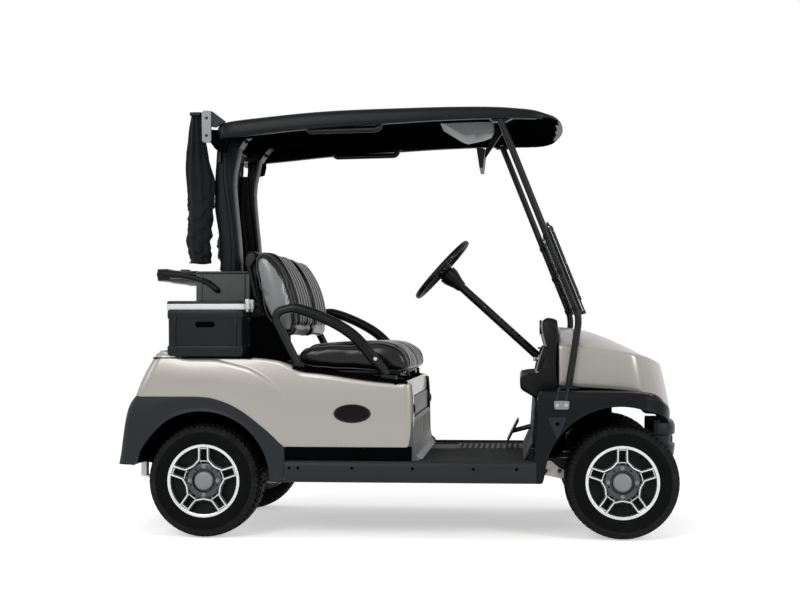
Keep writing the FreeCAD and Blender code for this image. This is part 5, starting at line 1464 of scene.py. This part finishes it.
def buildSeatBottom():
    bm = bmesh.new()
    cushionForm(bm, seat["bottomOutline"], -seat["bottomHalf"], seat["bottomHalf"])
    piece = placePiece(bm, "seatBottomCushion", [vinyl], "seat_lid", ["seat_bottom"], sharp=80)
    puffUp(piece, seat["bottomCap"])
    fitTo(piece, *seat["bottomSize"])
    refine(piece)

    def shift(x, y, z, facing):
        top = easeIn((facing.z + facing.x * 0.9 - 0.1) / 0.5)
        press = 0
        for low, high in seat["insets"]:
            press += channelPress(abs(y), low, high) * top * easeIn((x + 372) / 30)
        # the welt at the back of the channels and the split between the two places
        cross = exp(-((x + 376) / 6) ** 2) * 6 * easeIn((facing.z - 0.3) / 0.4)
        split = 9 * exp(-(y / 9) ** 2) * top
        # it rests flat on the tray
        flat = 0.654 + (z - 654) * 0.0002 if z < 654 else None
        return press + cross + split, flat

    pressIn(piece, shift)
    soften(piece, 3)
    seamLine("seatBottomPiping", seat["bottomOutline"], [(piece, -seat["bottomHalf"] + 12),
        (piece, seat["bottomHalf"] - 12)], "seat_lid")
    # the moulded tray under the cushion with its hinge leaves
    bm = bmesh.new()
    addBox(bm, (-396, -470, 650), (4, 470, 668), 0, 6)
    for y in (-302, 302):
        addBox(bm, (14, y - 6, 636), (28, y + 6, 664), 1)
        addLathe(bm, [(-7, 3.4), (-7, 6.4), (7, 6.4), (7, 3.4)], (22, y, 641), "Y", 20, 1, closed=True)
    placePiece(bm, "seatTray", [blackPlastic, darkSteel], "seat_lid", sharp=32)


def seamLine(name, outline, places, body):
    # piping laid on the finished cushions, each place a cushion and a y
    bm = bmesh.new()
    closed = evenOutline(outline, 5, 100)
    middle = sum(closed, Vector()) / len(closed)
    for piece, y in places:
        surface = BVHTree.FromPolygons([v.co for v in piece.data.vertices], [list(f.vertices)
            for f in piece.data.polygons])
        path = []
        for point in closed:
            away = (point - middle).normalized()
            start = (point + away * 60 + Vector((0, y, 0))) * 0.001
            spot = surface.ray_cast(start, -away)[0]
            if spot:
                path.append(spot * 1000 + away * 1.2)
        addTube(bm, path, 4.0, 0, 8, closed=True)
    placePiece(bm, name, [piping], body, sharp=80)


def buildSeatBacks():
    low, high = seat["backSpan"]
    backs = []
    for side, name in ((-1, "seatBackRight"), (1, "seatBackLeft")):
        bm = bmesh.new()
        start, end = sorted((side * low, side * high))
        cushionForm(bm, seat["backOutline"], start, end)
        piece = placePiece(bm, name, [vinyl, panel], "chassis", ["seat_backs"] if side < 0 else [], sharp=80)
        puffUp(piece, seat["backCap"])
        (x0, x1), (z0, z1) = seat["backSize"]
        reach = sorted((side * (low - 6), side * (high + 12)))
        fitTo(piece, (x0, reach[0], z0), (x1, reach[1], z1))
        refine(piece)
        piece.data.materials.clear()
        piece.data.materials.append(vinyl)
        piece.data.materials.append(panel)

        def shift(x, y, z, facing):
            front = easeIn((facing.x + facing.z * 0.4 - 0.1) / 0.5)
            press = 0
            for left, right in seat["insets"]:
                press += channelPress(abs(y), left, right) * front * easeIn((z - 846) / 26)
            cross = exp(-((z - 850) / 6) ** 2) * 6 * front
            return press + cross, None

        pressIn(piece, shift)
        soften(piece, 3)
        backs.append(piece)
        for face in piece.data.polygons:
            x, y, z = face.center * 1000
            if abs(y) > high - 22 and edgeDistance(seat["backOutline"], x, z) > 15:
                face.material_index = 1
    right, left = backs
    seamLine("seatBackPiping", seat["backOutline"], [(right, -high + 12), (right, -low - 12),
        (left, low + 12), (left, high - 12)], "chassis")


buildSeatBottom()
buildSeatBacks()
print("seats ready")


# seat back shell, arm pads on the hip restraints

armPad = {
    "cap": (-90, 716),  # x, z of the screw cap
    "path": [(-436, 921), (-400, 916), (-330, 893), (-250, 856), (-186, 815), (-138, 768), (-104, 722),
        (-78, 692)],
    "radius": [15, 20.5, 21.5, 22, 22.5, 22.5, 21, 16],
    "y": 550,
}


def buildSeatFittings():
    bm = bmesh.new()
    for side in (-1, 1):
        path = smoothPath([(x, side * armPad["y"], z) for x, z in armPad["path"]], 5)
        sizes = [v.x for v in smoothPath([(r, 0, 0) for r in armPad["radius"]], 5)]
        addTube(bm, path, sizes, 0, 20, flat=0.88)
        addLathe(bm, [(0, 7.5), (side * 1.5, 7.5), (side * 3, 6), (side * 3.4, 3), (side * 2.4, 0.3)],
            (armPad["cap"][0], side * (armPad["y"] + 16), armPad["cap"][1]), "Y", 18, 1)
    placePiece(bm, "armPads", [blackPlastic, steel], sharp=40)
    # the moulded shell behind the backs with its rolled top
    bm = bmesh.new()
    rows = []
    for y, inset in ((-476, 24), (-472, 8), (-460, 0), (-300, 0), (-100, 0), (0, 0), (100, 0), (300, 0),
            (460, 0), (472, 8), (476, 24)):
        rows.append([(-548 - 0.3 * inset, y, 884 + inset), (-556, y, 884 + inset), (-596, y, 972),
            (-618, y, 1070), (-630, y, 1112 - inset * 0.6), (-629, y, 1138 - inset * 0.8),
            (-617, y, 1152 - inset), (-600, y, 1154 - inset), (-590, y, 1146 - inset),
            (-602, y, 1128 - inset), (-612, y, 1100 - inset * 0.5), (-604, y, 1060), (-584, y, 968)])
    addLoft(bm, rows)
    for y in (-330, -110, 110, 330):
        rib = smoothPath([(-560, y, 890), (-600, y, 972), (-622, y, 1070), (-633, y, 1116)], 4)
        addTube(bm, rib, 6, 0, 8)
    placePiece(bm, "seatBackShell", [blackPlastic], sharp=36)
    # the bulkhead between the seat backs and the bag well
    bm = bmesh.new()
    addPlate(bm, [(-612, 694), (-590, 694), (-587, 760), (-592, 850), (-600, 884), (-612, 884)], -468, 468,
        "Y", 0, 3)
    addPlate(bm, [(-600, 694), (-470, 690), (-464, 700), (-470, 790), (-486, 850), (-506, 880), (-560, 888),
        (-600, 880)], -470, -436, "Y", 0, 8)
    for y in (-330, -110, 110, 330):
        addPlate(bm, [(-600, 700), (-582, 704), (-582, 770), (-588, 860), (-600, 870)], y - 6, y + 6)
    placePiece(bm, "seatBulkhead", [linerPlasticAndPaintedShade], sharp=36)


buildSeatFittings()


# cooler box with inset panels, its lid with a pale rim, and the latch

cooler = {
    "low": (-928, -589, 723),
    "high": (-618, -394, 912),
    "corner": 16,
    # z with how far the wall stands in: a foot, a lower rim, the inset panel, an upper rim
    "rings": [(723, 9), (725, 4), (730, 1), (762, 0), (766, 1), (768.5, 4.5), (770, 5.5), (874, 4.5),
        (876, 3.6), (879, 0.6), (882, 0), (906, 0), (911, 1.5), (912, 5)],
    "lidLow": 913,
}


def roundedRing(low, high, inset, radius, z, each=6):
    x0, y0, x1, y1 = low[0] + inset, low[1] + inset, high[0] - inset, high[1] - inset
    radius = max(2, radius - inset)
    ring = []
    for cx, cy, start in ((x1 - radius, y1 - radius, 0), (x0 + radius, y1 - radius, 90),
            (x0 + radius, y0 + radius, 180), (x1 - radius, y0 + radius, 270)):
        for k in range(each + 1):
            turn = radians(start + 90 * k / each)
            ring.append((cx + radius * cos(turn), cy + radius * sin(turn), z))
    return ring


def buildCooler():
    low, high = cooler["low"], cooler["high"]
    bm = bmesh.new()
    rows = [roundedRing(low, high, inset, cooler["corner"], z) for z, inset in cooler["rings"]]
    rows += [roundedRing(low, high, 13, cooler["corner"], 912), roundedRing(low, high, 14, 10, 900),
        roundedRing(low, high, 15, 8, 745)]
    addLoft(bm, rows)
    # upright mouldings that divide the long panel, and hand holds
    for x in (-896, -650):
        addBox(bm, (x - 5, low[1] - 0.5, 768), (x + 5, low[1] + 6, 880), 0, 2)
    addPlate(bm, [(-806, 842), (-740, 842), (-734, 848), (-734, 858), (-740, 864), (-806, 864), (-812, 858),
        (-812, 848)], low[1] + 1.5, low[1] + 7, "Y", 1)
    placePiece(bm, "coolerTub", [coolerPlastic, linerPlasticAndPaintedShade], instead=["cooler_box"], sharp=32)
    bm = bmesh.new()
    lidLow, lidHigh = (-931, -591, 0), (-614, -392, 0)
    base = cooler["lidLow"]
    rim = [(base, 6), (base + 0.5, 2), (base + 3, 0), (base + 20, -0.5), (base + 22.5, 0.5), (base + 23, 3)]
    top = [(base + 23, 4), (base + 24, 1.5), (base + 27, 0.5), (base + 32, 2), (base + 35, 8),
        (base + 34.5, 20), (base + 32, 26), (base + 32, 34), (base + 35, 40)]
    for finish, rings in enumerate((rim, top)):
        addLoft(bm, [roundedRing(lidLow, lidHigh, inset, 18, z) for z, inset in rings], finish)
    for y in (-545, -438):
        addBox(bm, (-616, y - 15, 916), (-600, y + 15, 956), 0, 4)
        addBox(bm, (-614, y - 9, 905), (-604, y + 9, 922))
    placePiece(bm, "coolerLidPanel", [whitePlastic, coolerPlastic], "cooler_lid", ["cooler_lid"], sharp=32)


coolerPlastic = makeFinish("coolerPlastic", "dark_plastic", (0.0068, 0.0084, 0.0096), 0.34, (5, 0.1),
    ("cells", 900, 0.12), specular=0.14)
buildCooler()


# luggage: ribs on the basket, and a scooped pad, arms and straps on the rack

def buildLuggage():
    bm = bmesh.new()
    rim = roundedRing((-867, -332, 0), (-638, 332, 0), 0, 14, 1072)
    addTube(bm, rim, 5.5, 0, 8, closed=True)
    addTube(bm, roundedRing((-866, -331, 0), (-639, 331, 0), 0, 12, 948), 4, 0, 8, closed=True)
    for k in range(13):
        y = -312 + 52 * k
        for x in (-865.5, -639.5):
            addTube(bm, [(x, y, 950), (x, y, 1070)], 3.4, 0, 8)
    for y in (-331, 331):
        for x in (-842, -660):
            addTube(bm, [(x, y, 950), (x, y, 1070)], 3.4, 0, 8)
    placePiece(bm, "basketRibs", [basketPlastic], sharp=40)
    bm = bmesh.new()
    x0 = span("bag_rack")[0].x
    # a thick rubber pad along the bar, scooped where the two bags rest, with square ends
    rows = []
    for k in range(61):
        y = between(-322, 322, k / 60)
        scoop = 14 * max(0, cos(pi * (abs(y) - 165) / 250)) ** 2
        end = 1 if 0 < k < 60 else 0.86
        front = x0 + 36
        rows.append([(x0 - 6 + scoop + (1 - end) * 30, y, 1064 + 25 * end), (front, y, 1064 + 25 * end),
            (front + 6, y, 1058), (front, y, 1064 - 26 * end), (x0 - 6 + scoop + (1 - end) * 30, y,
            1064 - 26 * end), (x0 - 9 + scoop, y, 1064)])
    addLoft(bm, rows)
    # arms from the rack forward to the basket
    for side in (-1, 1):
        path = smoothPath([(x0 + 20, side * 312, 1068), (x0 + 100, side * 314, 1062), (-830, side * 324,
            1036), (-786, side * 338, 1008), (-764, side * 338, 990)], 4)
        sizes = [between(17, 11, k / (len(path) - 1)) for k in range(len(path) - 2)]
        addTube(bm, path, sizes + [9, 4], 0, 16)
    for y in (-170, 170):
        # a strap with its buckle
        strap = [(x0 + 17, y, 1084), (x0 + 50, y, 1087), (x0 + 110, y - 3, 1079), (x0 + 150, y, 1083)]
        rows = [[p + Vector((0, -17, -1)), p + Vector((0, -17, 1)), p + Vector((0, 17, 1)),
            p + Vector((0, 17, -1))] for p in smoothPath(strap, 5)]
        addLoft(bm, rows, 1)
        addBox(bm, (x0 + 62, y - 23, 1080), (x0 + 98, y + 23, 1092))
    placePiece(bm, "rackSaddles", [blackPlastic, coverCloth], sharp=40)


basketPlastic = makeFinish("basketPlastic", "dark_plastic", (0.0165, 0.0185, 0.02), 0.42, (6, 0.1),
    ("cells", 700, 0.3))
buildLuggage()


# bag well: ribs on its floor and a trim round its edge

def buildWell():
    bm = bmesh.new()
    for k in range(9):
        y = -340 + 85 * k
        addBox(bm, (-1034, y - 6, 519), (-812, y + 6, 527), 0, 2.5)
    for y in (-386, 386):
        addBox(bm, (-1004, y - 7, 720), (-800, y + 7, 728), 1)
    addBox(bm, (-802, -386, 720), (-788, 386, 728), 1)
    placePiece(bm, "wellTrim", [matRubber, blackPlastic], sharp=35)


buildWell()


# windshield: two clear panes with dark edge rails and a hinge strip, in the frame of the front struts

shield = {
    "knee": (722, 884),
    "head": (399.3, 1700),
    "half": 455,
    "corner": 24,
    "railY": 425,
    # along the strut from the knee, and off it: start, end and middle of the pane, then its side rails,
    # and its bars across as along, inset at the ends, off the pane, half width and half depth
    "lower": {"from": 16, "to": 390, "off": 16.8, "railOff": 14, "railDepth": 6.5, "rail": (18, 372),
        "edging": (17.6, 3.2), "bars": [(22, 40, 0, 7, 4), (386, 44, -3.6, 5, 3.2)]},
    "upper": {"from": 3, "to": 388, "off": 27.8, "railOff": 30, "railDepth": 6, "rail": (60, 384),
        "edging": (27.1, 3.2), "bars": [(11, 44, 3.4, 6, 3), (380, 44, 3.4, 6, 3)]},
    "wall": 5,
    "hinge": (400, 22.3),
}


def onStrut(along, y, off):
    knee, head = shield["knee"], shield["head"]
    lean = Vector((head[0] - knee[0], 0, head[1] - knee[1])).normalized()
    ahead = Vector((lean.z, 0, -lean.x))
    return Vector((knee[0], y, knee[1])) + lean * along + ahead * off


def addRail(bm, start, end, across, depth, finish=0):
    # a rounded bar from start to end, each (along, y, off); across is half its width
    rows = []
    for share, size in ((0, 0.4), (0.006, 0.85), (0.016, 1), (0.984, 1), (0.994, 0.85), (1, 0.4)):
        along, y, off = [between(start[i], end[i], share) for i in range(3)]
        ring = []
        for a, b in ((-1, -0.5), (-0.8, -0.85), (-0.4, -1), (0.4, -1), (0.8, -0.85), (1, -0.5), (1, 0.5),
                (0.8, 0.85), (0.4, 1), (-0.4, 1), (-0.8, 0.85), (-1, 0.5)):
            if start[1] == end[1]:
                ring.append(onStrut(along, y + a * across * size, off + b * depth * size))
            else:
                ring.append(onStrut(along + a * across * size, y, off + b * depth * size))
        rows.append(ring)
    addLoft(bm, rows, finish)


def buildPane(part, body, node, name):
    piece = shield[part]
    low, high, off = piece["from"], piece["to"], piece["off"]
    half, corner, wall = shield["half"], shield["corner"], shield["wall"]
    bm = bmesh.new()
    outline = []
    for cy, cs, a0 in ((half - corner, high - corner, 0), (-half + corner, high - corner, 90),
            (-half + corner, low + corner, 180), (half - corner, low + corner, 270)):
        for k in range(7):
            turn = radians(a0 + 15 * k)
            outline.append((cy + corner * cos(turn), cs + corner * sin(turn)))
    sides = []
    for inset, depth in ((1.2, -wall / 2), (0, -wall / 2 + 1), (0, wall / 2 - 1), (1.2, wall / 2)):
        sides.append([onStrut(s + (inset if s < (low + high) / 2 else -inset), y * (1 - inset / half),
            off + depth) for y, s in outline])
    addLoft(bm, sides)
    placePiece(bm, name, [clearPane], body, [node], sharp=30)
    bm = bmesh.new()
    y = shield["railY"]
    start, end = piece["rail"]
    for side in (-1, 1):
        addRail(bm, (start, side * y, piece["railOff"]), (end, side * y, piece["railOff"]), 8,
            piece["railDepth"])
        for s in (start + 24, (start + end) / 2, end - 24):
            spot = onStrut(s, side * y, piece["railOff"])
            addLathe(bm, [(side * 8, 4.5), (side * 9.5, 4), (side * 10, 1)], spot, "Y", 12, 1)
    # dark edging along both upright edges, and a bar across near each end
    edgeOff, edgeDepth = piece["edging"]
    for side in (-1, 1):
        addRail(bm, (low + 12, side * 452, edgeOff), (high - 12, side * 452, edgeOff), 3.6, edgeDepth)
    for along, inset, out, across, depth in piece["bars"]:
        addRail(bm, (along, -half + inset, off + out), (along, half - inset, off + out), across, depth)
    pinAlong, pinOff = shield["hinge"]
    if part == "lower":
        for y in (-435, 381):
            for leaf in (y + 8, y + 46):
                addRail(bm, (pinAlong - 12, leaf, off), (pinAlong, leaf, pinOff), 7, 4)
            addTube(bm, [onStrut(pinAlong, y + 1, pinOff), onStrut(pinAlong, y + 53, pinOff)], 2.8, 1)
    else:
        for y in (-408, 408):
            addRail(bm, (high - 4, y, off), (pinAlong, y, pinOff), 9, 3.5)
            addTube(bm, [onStrut(pinAlong, y - 9, pinOff), onStrut(pinAlong, y + 9, pinOff)], 5.5, 0, 16)
    placePiece(bm, name + "Rails", [framePaint, steel], body, sharp=40)


def buildShield():
    buildPane("lower", "chassis", "windshield_lower", "paneLower")
    buildPane("upper", "upper_pane", "windshield_upper", "paneUpper")
    # rubber clips that hold the panes to the struts
    bm = bmesh.new()
    for along in (40, 200, 350):
        for side in (-1, 1):
            rows = []
            for s, size in ((-10, 15), (-8, 17.5), (8, 17.5), (10, 15)):
                rows.append([onStrut(along + s, side * 452 + size * sin(t), -size * cos(t) * 0.98)
                    for t in [radians(-100 + 200 * k / 14) for k in range(15)]])
            addGrid(bm, rows)
    placePiece(bm, "strutClips", [blackPlastic], sharp=40, thick=1.5)


buildShield()


# steering wheel: a grip with finger ridges, three spokes and a padded hub

wheelRing = {
    "hub": (134, 270, 1108),
    "tilt": 47.7,
    "radius": 160,
    "grip": 12.6,
    # along the column and radius: the padded hub, and the boss that runs down over the column
    "pad": [(40, 18), (36, 26), (24, 37), (10, 43), (0, 42), (-6, 36), (-9, 22), (-10, 1)],
    "boss": [(30, 43), (52, 42), (70, 37), (92, 29), (112, 25), (120, 23.5), (121, 20.6), (46, 20.6),
        (34, 21), (30, 30)],
}


def inWheel(across, up, along):
    # across is to the driver's left, up is towards the rim's top, along is down the column
    tilt = radians(wheelRing["tilt"])
    downColumn = Vector((sin(tilt), 0, -cos(tilt)))
    rimTop = Vector((cos(tilt), 0, sin(tilt)))
    return Vector(wheelRing["hub"]) + Vector((0, across, 0)) + rimTop * up + downColumn * along


def wheelRings(rows, steps, wide):
    return [[inWheel(size * cos(turn) * wide, size * sin(turn), along) for turn in turns(steps)] for along,
        size in rows]


def buildSteeringWheel():
    bm = bmesh.new()
    rows = []
    radius, grip = wheelRing["radius"], wheelRing["grip"]
    for turn in turns(144):
        ridge = 0.7 * max(0, cos(turn * 48)) * (1 if sin(turn) < 0.35 else 0.4)
        row = []
        for a in turns(18):
            size = grip + (ridge if cos(a) < 0.2 else 0)
            reach = radius + size * cos(a)
            row.append(inWheel(reach * cos(turn), reach * sin(turn), size * sin(a)))
        rows.append(row)
    addGrid(bm, rows, around=True, ring=True)
    for turn in (0, 180, 270):
        t = radians(turn)
        for offset in (-9, 9):
            path = [inWheel((cos(t) * reach - sin(t) * offset * lean),
                (sin(t) * reach + cos(t) * offset * lean), drop) for reach, drop, lean in ((24, 16, 1.2),
                (60, 12, 1), (110, 4, 0.9), (154, 0, 0.9))]
            addTube(bm, smoothPath(path, 4), 6.5, 1, 10, flat=0.8, upward=inWheel(0, 0, 1) - inWheel(0, 0, 0))
    addGrid(bm, wheelRings(wheelRing["pad"], 40, 1.12), 1, around=True)
    addGrid(bm, wheelRings(wheelRing["boss"], 32, 1), 1, around=True, ring=True)
    placePiece(bm, "steeringWheelGrip", [gripRubber, blackPlastic], "steering_wheel", ["steering_wheel"],
        sharp=40)


gripRubber = makeFinish("gripRubber", "black_plastic", (0.003, 0.0034, 0.0038), 0.5, (20, 0.15),
    ("cells", 900, 0.03), specular=0.2)
buildSteeringWheel()


# dashboard: hood, gauge, key, trays, cup rims and a moulded upright face

dash = {
    "half": 418,
    # x, z round the section: the pod, the leaning face, the tray and its lip
    "section": [(636, 862), (624, 876), (600, 881), (586, 878), (577, 868), (574, 852), (578, 828),
        (586, 800), (593, 776), (592, 760), (584, 738), (575, 710), (568, 684), (562, 662), (552, 651),
        (535, 648), (505, 648), (490, 645), (484, 634), (484, 604), (490, 590), (508, 578), (534, 563),
        (552, 554), (600, 554), (636, 560), (639, 640), (639, 780)],
    "cups": [(523, -62), (523, 62)],
    "gauge": (577, 118, 846),
    "key": (572, 132, 706),
}


def buildDash():
    bm = bmesh.new()
    outline = evenOutline(dash["section"], 4, 96)
    middle = Vector((590, 0, 690))
    half = dash["half"]
    rows = []
    for y, inset in ((-half, 16), (-half + 2, 9), (-half + 7, 3), (-half + 16, 0), (-260, 0), (0, 0),
            (260, 0), (half - 16, 0), (half - 7, 3), (half - 2, 9), (half, 16)):
        rows.append(drawnIn(outline, middle, y, inset))
    addLoft(bm, rows)
    # mouldings on the face, the lid of a bin with its pull, and the pod round the gauge
    for y in (-396, -146, 146, 396):
        rib = smoothPath([(562, y, 668), (573, y, 706), (583, y, 738), (591, y, 764)], 4)
        addTube(bm, rib, 6, 0, 10)
    for low, high in ((-386, -156), (232, 386)):
        lid = [(558, low, 664), (567, low, 700), (578, low, 736), (587, low, 760)]
        rows = []
        for x, y, z in lid:
            rows.append([(x - 5, low, z), (x - 8, low + 8, z), (x - 8, high - 8, z), (x - 5, high, z),
                (x + 4, high, z), (x + 4, low, z)])
        addLoft(bm, rows)
        centre = (low + high) / 2
        addTube(bm, smoothPath([(574, centre - 30, 752), (568, centre - 26, 754), (567, centre, 754),
            (568, centre + 26, 754), (574, centre + 30, 752)], 3), 4, 1, 8)
    addLathe(bm, [(2, 31), (-5, 32), (-7, 30), (-6, 27), (-2, 26), (-2, 0.3)], dash["gauge"], "X", 40, 1)
    addLathe(bm, [(4, 18), (-5, 18), (-7, 15), (-7, 8), (-12, 7.5), (-13, 6), (-13, 0.3)], dash["key"], "X",
        28, 2)
    keyX, keyY, keyZ = dash["key"]
    addBox(bm, (keyX - 30, keyY - 2.2, keyZ - 9), (keyX - 12, keyY + 2.2, keyZ + 9), 2, 1)
    for x, y in dash["cups"]:
        addLathe(bm, [(-2, 31), (2.5, 32), (4, 34.5), (3, 37), (-1, 38)], (x, y, 648), "Z", 48, 1)
        addLathe(bm, [(0.6, 31), (0.3, 0.3)], (x, y, 648), "Z", 32, 3)
    for low, high in ((-392, -124), (124, 240), (300, 392)):
        addTube(bm, roundedRing((492, low, 0), (552, high, 0), 0, 14, 649), 3, 0, 8, closed=True)
    placePiece(bm, "dashMoulding", [blackPlastic, charcoal, steel, linerPlasticAndPaintedShade], instead=["dashboard"],
        sharp=36)
    # a blank dial
    bm = bmesh.new()
    x, y, z = dash["gauge"]
    addLathe(bm, [(0, 25.5), (-3.5, 25), (-4.4, 18), (-4.6, 0.3)], (x, y, z), "X", 40)
    placePiece(bm, "gaugeFace", [greyPlastic], sharp=40)


buildDash()


# kick board under the front of the seat: a painted fascia, a recess with two socket caps and a grey board

kick = {
    "half": 584,
    # x, z round each band, from the top: painted fascia, dark recess, grey board
    "bands": [([(24, 628), (39, 630), (45, 624), (47, 600), (47, 566), (43, 557), (24, 556)], 0),
        ([(18, 556), (49, 558), (52, 552), (52, 484), (48, 478), (18, 478)], 1),
        ([(30, 478), (56, 476), (61, 468), (62, 400), (64, 352), (70, 328), (90, 311), (86, 306), (36, 306)],
        2)],
}


def buildKick():
    bm = bmesh.new()
    half = kick["half"]
    for outline, finish in kick["bands"]:
        outline = [Vector((x, 0, z)) for x, z in outline]
        middle = sum(outline, Vector()) / len(outline)
        rows = []
        for y, size in ((-half, 0.8), (-half + 3, 0.95), (-half + 8, 1), (-300, 1), (0, 1), (300, 1),
                (half - 8, 1), (half - 3, 0.95), (half, 0.8)):
            rows.append([(middle.x + (p.x - middle.x) * size, y, middle.z + (p.z - middle.z) * size)
                for p in outline])
        addLoft(bm, rows, finish)
    for k in range(12):
        y = -495 + 90 * k
        addBox(bm, (56, y - 3, 352), (64.5, y + 3, 462), 2, 1.5)
    # a round socket cap at each end of the recess
    for y in (-540, 540):
        addLathe(bm, [(0, 35), (8, 35), (12, 32), (13, 26), (11, 24), (16, 20), (20, 12), (21, 0.3)],
            (48, y, 518), "X", 40, 1)
    placePiece(bm, "kickBoard", [champagne, blackPlastic, kickGrey, darkSteel], instead=["kick_panel"],
        sharp=34)


kickGrey = makeFinish("kickGrey", "dark_plastic", (0.05, 0.055, 0.058), 0.45, (6, 0.1), ("cells", 700, 0.12),
    specular=0.3)
buildKick()


# floor: a ribbed rubber mat with a raised heel pad

mat = {
    "x": (80, 512),
    "level": 303,
    "ribStep": 17,
}


def buildFloor():
    x0, x1 = mat["x"]
    bm = bmesh.new()
    level = mat["level"]
    addPlate(bm, [(x0, -512), (x1, -512), (x1 + 6, -506), (x1 + 6, 506), (x1, 512), (x0, 512), (x0 - 4, 508),
        (x0 - 4, -508)], level, level + 5, "Z")
    y = -496
    while y <= 497:
        if not 120 < y < 430:
            rows = [[(x, y + a, level + 5 + b) for a, b in ((-4, -0.5), (-2.6, 3.2), (2.6, 3.2), (4, -0.5))]
                for x in (x0 + 12, x0 + 16, x1 - 14, x1 - 10)]
            addLoft(bm, rows)
        y += mat["ribStep"]
    addPlate(bm, [(x0 + 130, 128), (x1 - 20, 128), (x1 - 12, 136), (x1 - 12, 416), (x1 - 20, 424),
        (x0 + 130, 424), (x0 + 122, 416), (x0 + 122, 136)], level + 5, level + 9, "Z")
    for i in range(11):
        for j in range(11):
            addLathe(bm, [(0, 5.2), (2, 4.4), (2.4, 2.6), (2.4, 0.2)], (x0 + 144 + i * 25, 150 + j * 25,
                level + 9), "Z", 10)
    placePiece(bm, "floorMatRibs", [matRubber], sharp=32)


buildFloor()


# badge ovals on the rear body, left blank

def bodySide(x, z):
    # how far out the painted side stands, ahead of the rear wing
    low = 363
    high = readTable([(30, 616), (-12, 614), (-140, 627), (-285, 650), (-385, 661)], x)
    return rearBody["half"] + panelSwell(z, (z - low) / (high - low))


badge = {
    "middle": (-179, 500),
    "half": (74, 37),
    # from the edge inwards: share of the size, how far it stands out
    "rings": [(1, -1.5), (1, 1.2), (0.985, 2.4), (0.94, 2.9), (0.9, 2.6), (0.88, 1.9), (0.6, 2.5),
        (0.3, 2.9), (0.02, 3.0)],
    "rimRings": 6,
}


def buildBadges():
    bm = bmesh.new()
    middle, (long, tall) = badge["middle"], badge["half"]
    rim = badge["rimRings"]
    rows = []
    for size, out in badge["rings"]:
        row = []
        for turn in turns(56):
            x = middle[0] + long * size * cos(turn)
            z = middle[1] + tall * size * sin(turn)
            row.append((x, -bodySide(x, z) - out, z))
        rows.append(row)
    addGrid(bm, rows[:rim], around=True)
    addGrid(bm, rows[rim - 1:], 1, around=True, capEnd=True)
    bothSides(bm)
    placePiece(bm, "sideBadges", [badgeRim, badgeFace], sharp=30)


badgeRim = makeFinish("badgeRim", "black_plastic", (0.012, 0.010, 0.009), 0.3, (30, 0.1),
    ("noise", 500, 0.1), specular=0.12)
badgeFace = makeFinish("badgeFace", "black_plastic", (0.005, 0.003, 0.0025), 0.22, (30, 0.15),
    ("noise", 300, 0.05), specular=0.08)
buildBadges()


# under the body: the tops of the batteries and the metal brackets ahead of the front step

def buildUnderside():
    bm = bmesh.new()
    packLow, packHigh = span("battery_pack")
    for k in range(6):
        x = between(packLow.x + 20, packHigh.x - 20, (k + 0.5) / 6)
        for y in (-260, 0, 260):
            addBox(bm, (x - 32, y - 118, packHigh.z - 3), (x + 32, y + 118, packHigh.z + 1.5))
        for y in (-330, -70, 190):
            addLathe(bm, [(0, 9), (6, 8.5), (7, 5), (7, 0.2)], (x, y, packHigh.z + 1), "Z", 16, 1)
    placePiece(bm, "batteryTops", [linerPlasticAndPaintedShade, greyPlastic], sharp=32)
    bm = bmesh.new()
    for side in (-1, 1):
        addPlate(bm, [(566, 286), (562, 250), (574, 228), (656, 212), (680, 220), (684, 236), (640, 262),
            (612, 286)], side * 188, side * 202, "Y", 0, 2.5)
        for x in (590, 648):
            addBolt(bm, (x, side * 202, 244), "Y", 7, side * 6, 1)
    placePiece(bm, "frontStepBrackets", [steel, darkSteel], sharp=32)


buildUnderside()
print("fittings ready")


# CAD nodes that keep their own shape

dress(framePaint, "chassis_frame", "front_struts", "hip_restraints", "bag_rack", "grab_handles",
    "steering_column", "seat_back_frame")
dress(darkSteel, "front_axle", "rear_axle", "knuckle_right", "knuckle_left", "tie_rod", "pitman_arm",
    "steering_gear")
dress(steel, "front_springs", "rear_springs")
dress(charcoal, "rear_bumper")
dress(linerPlasticAndPaintedShade, "bag_well", "battery_pack", "seat_base")
dress(matRubber, "floor_pan")
dress(blackPlastic, "pedals", "mirror")
dress(basketPlastic, "sweater_basket")
print("nodes dressed")
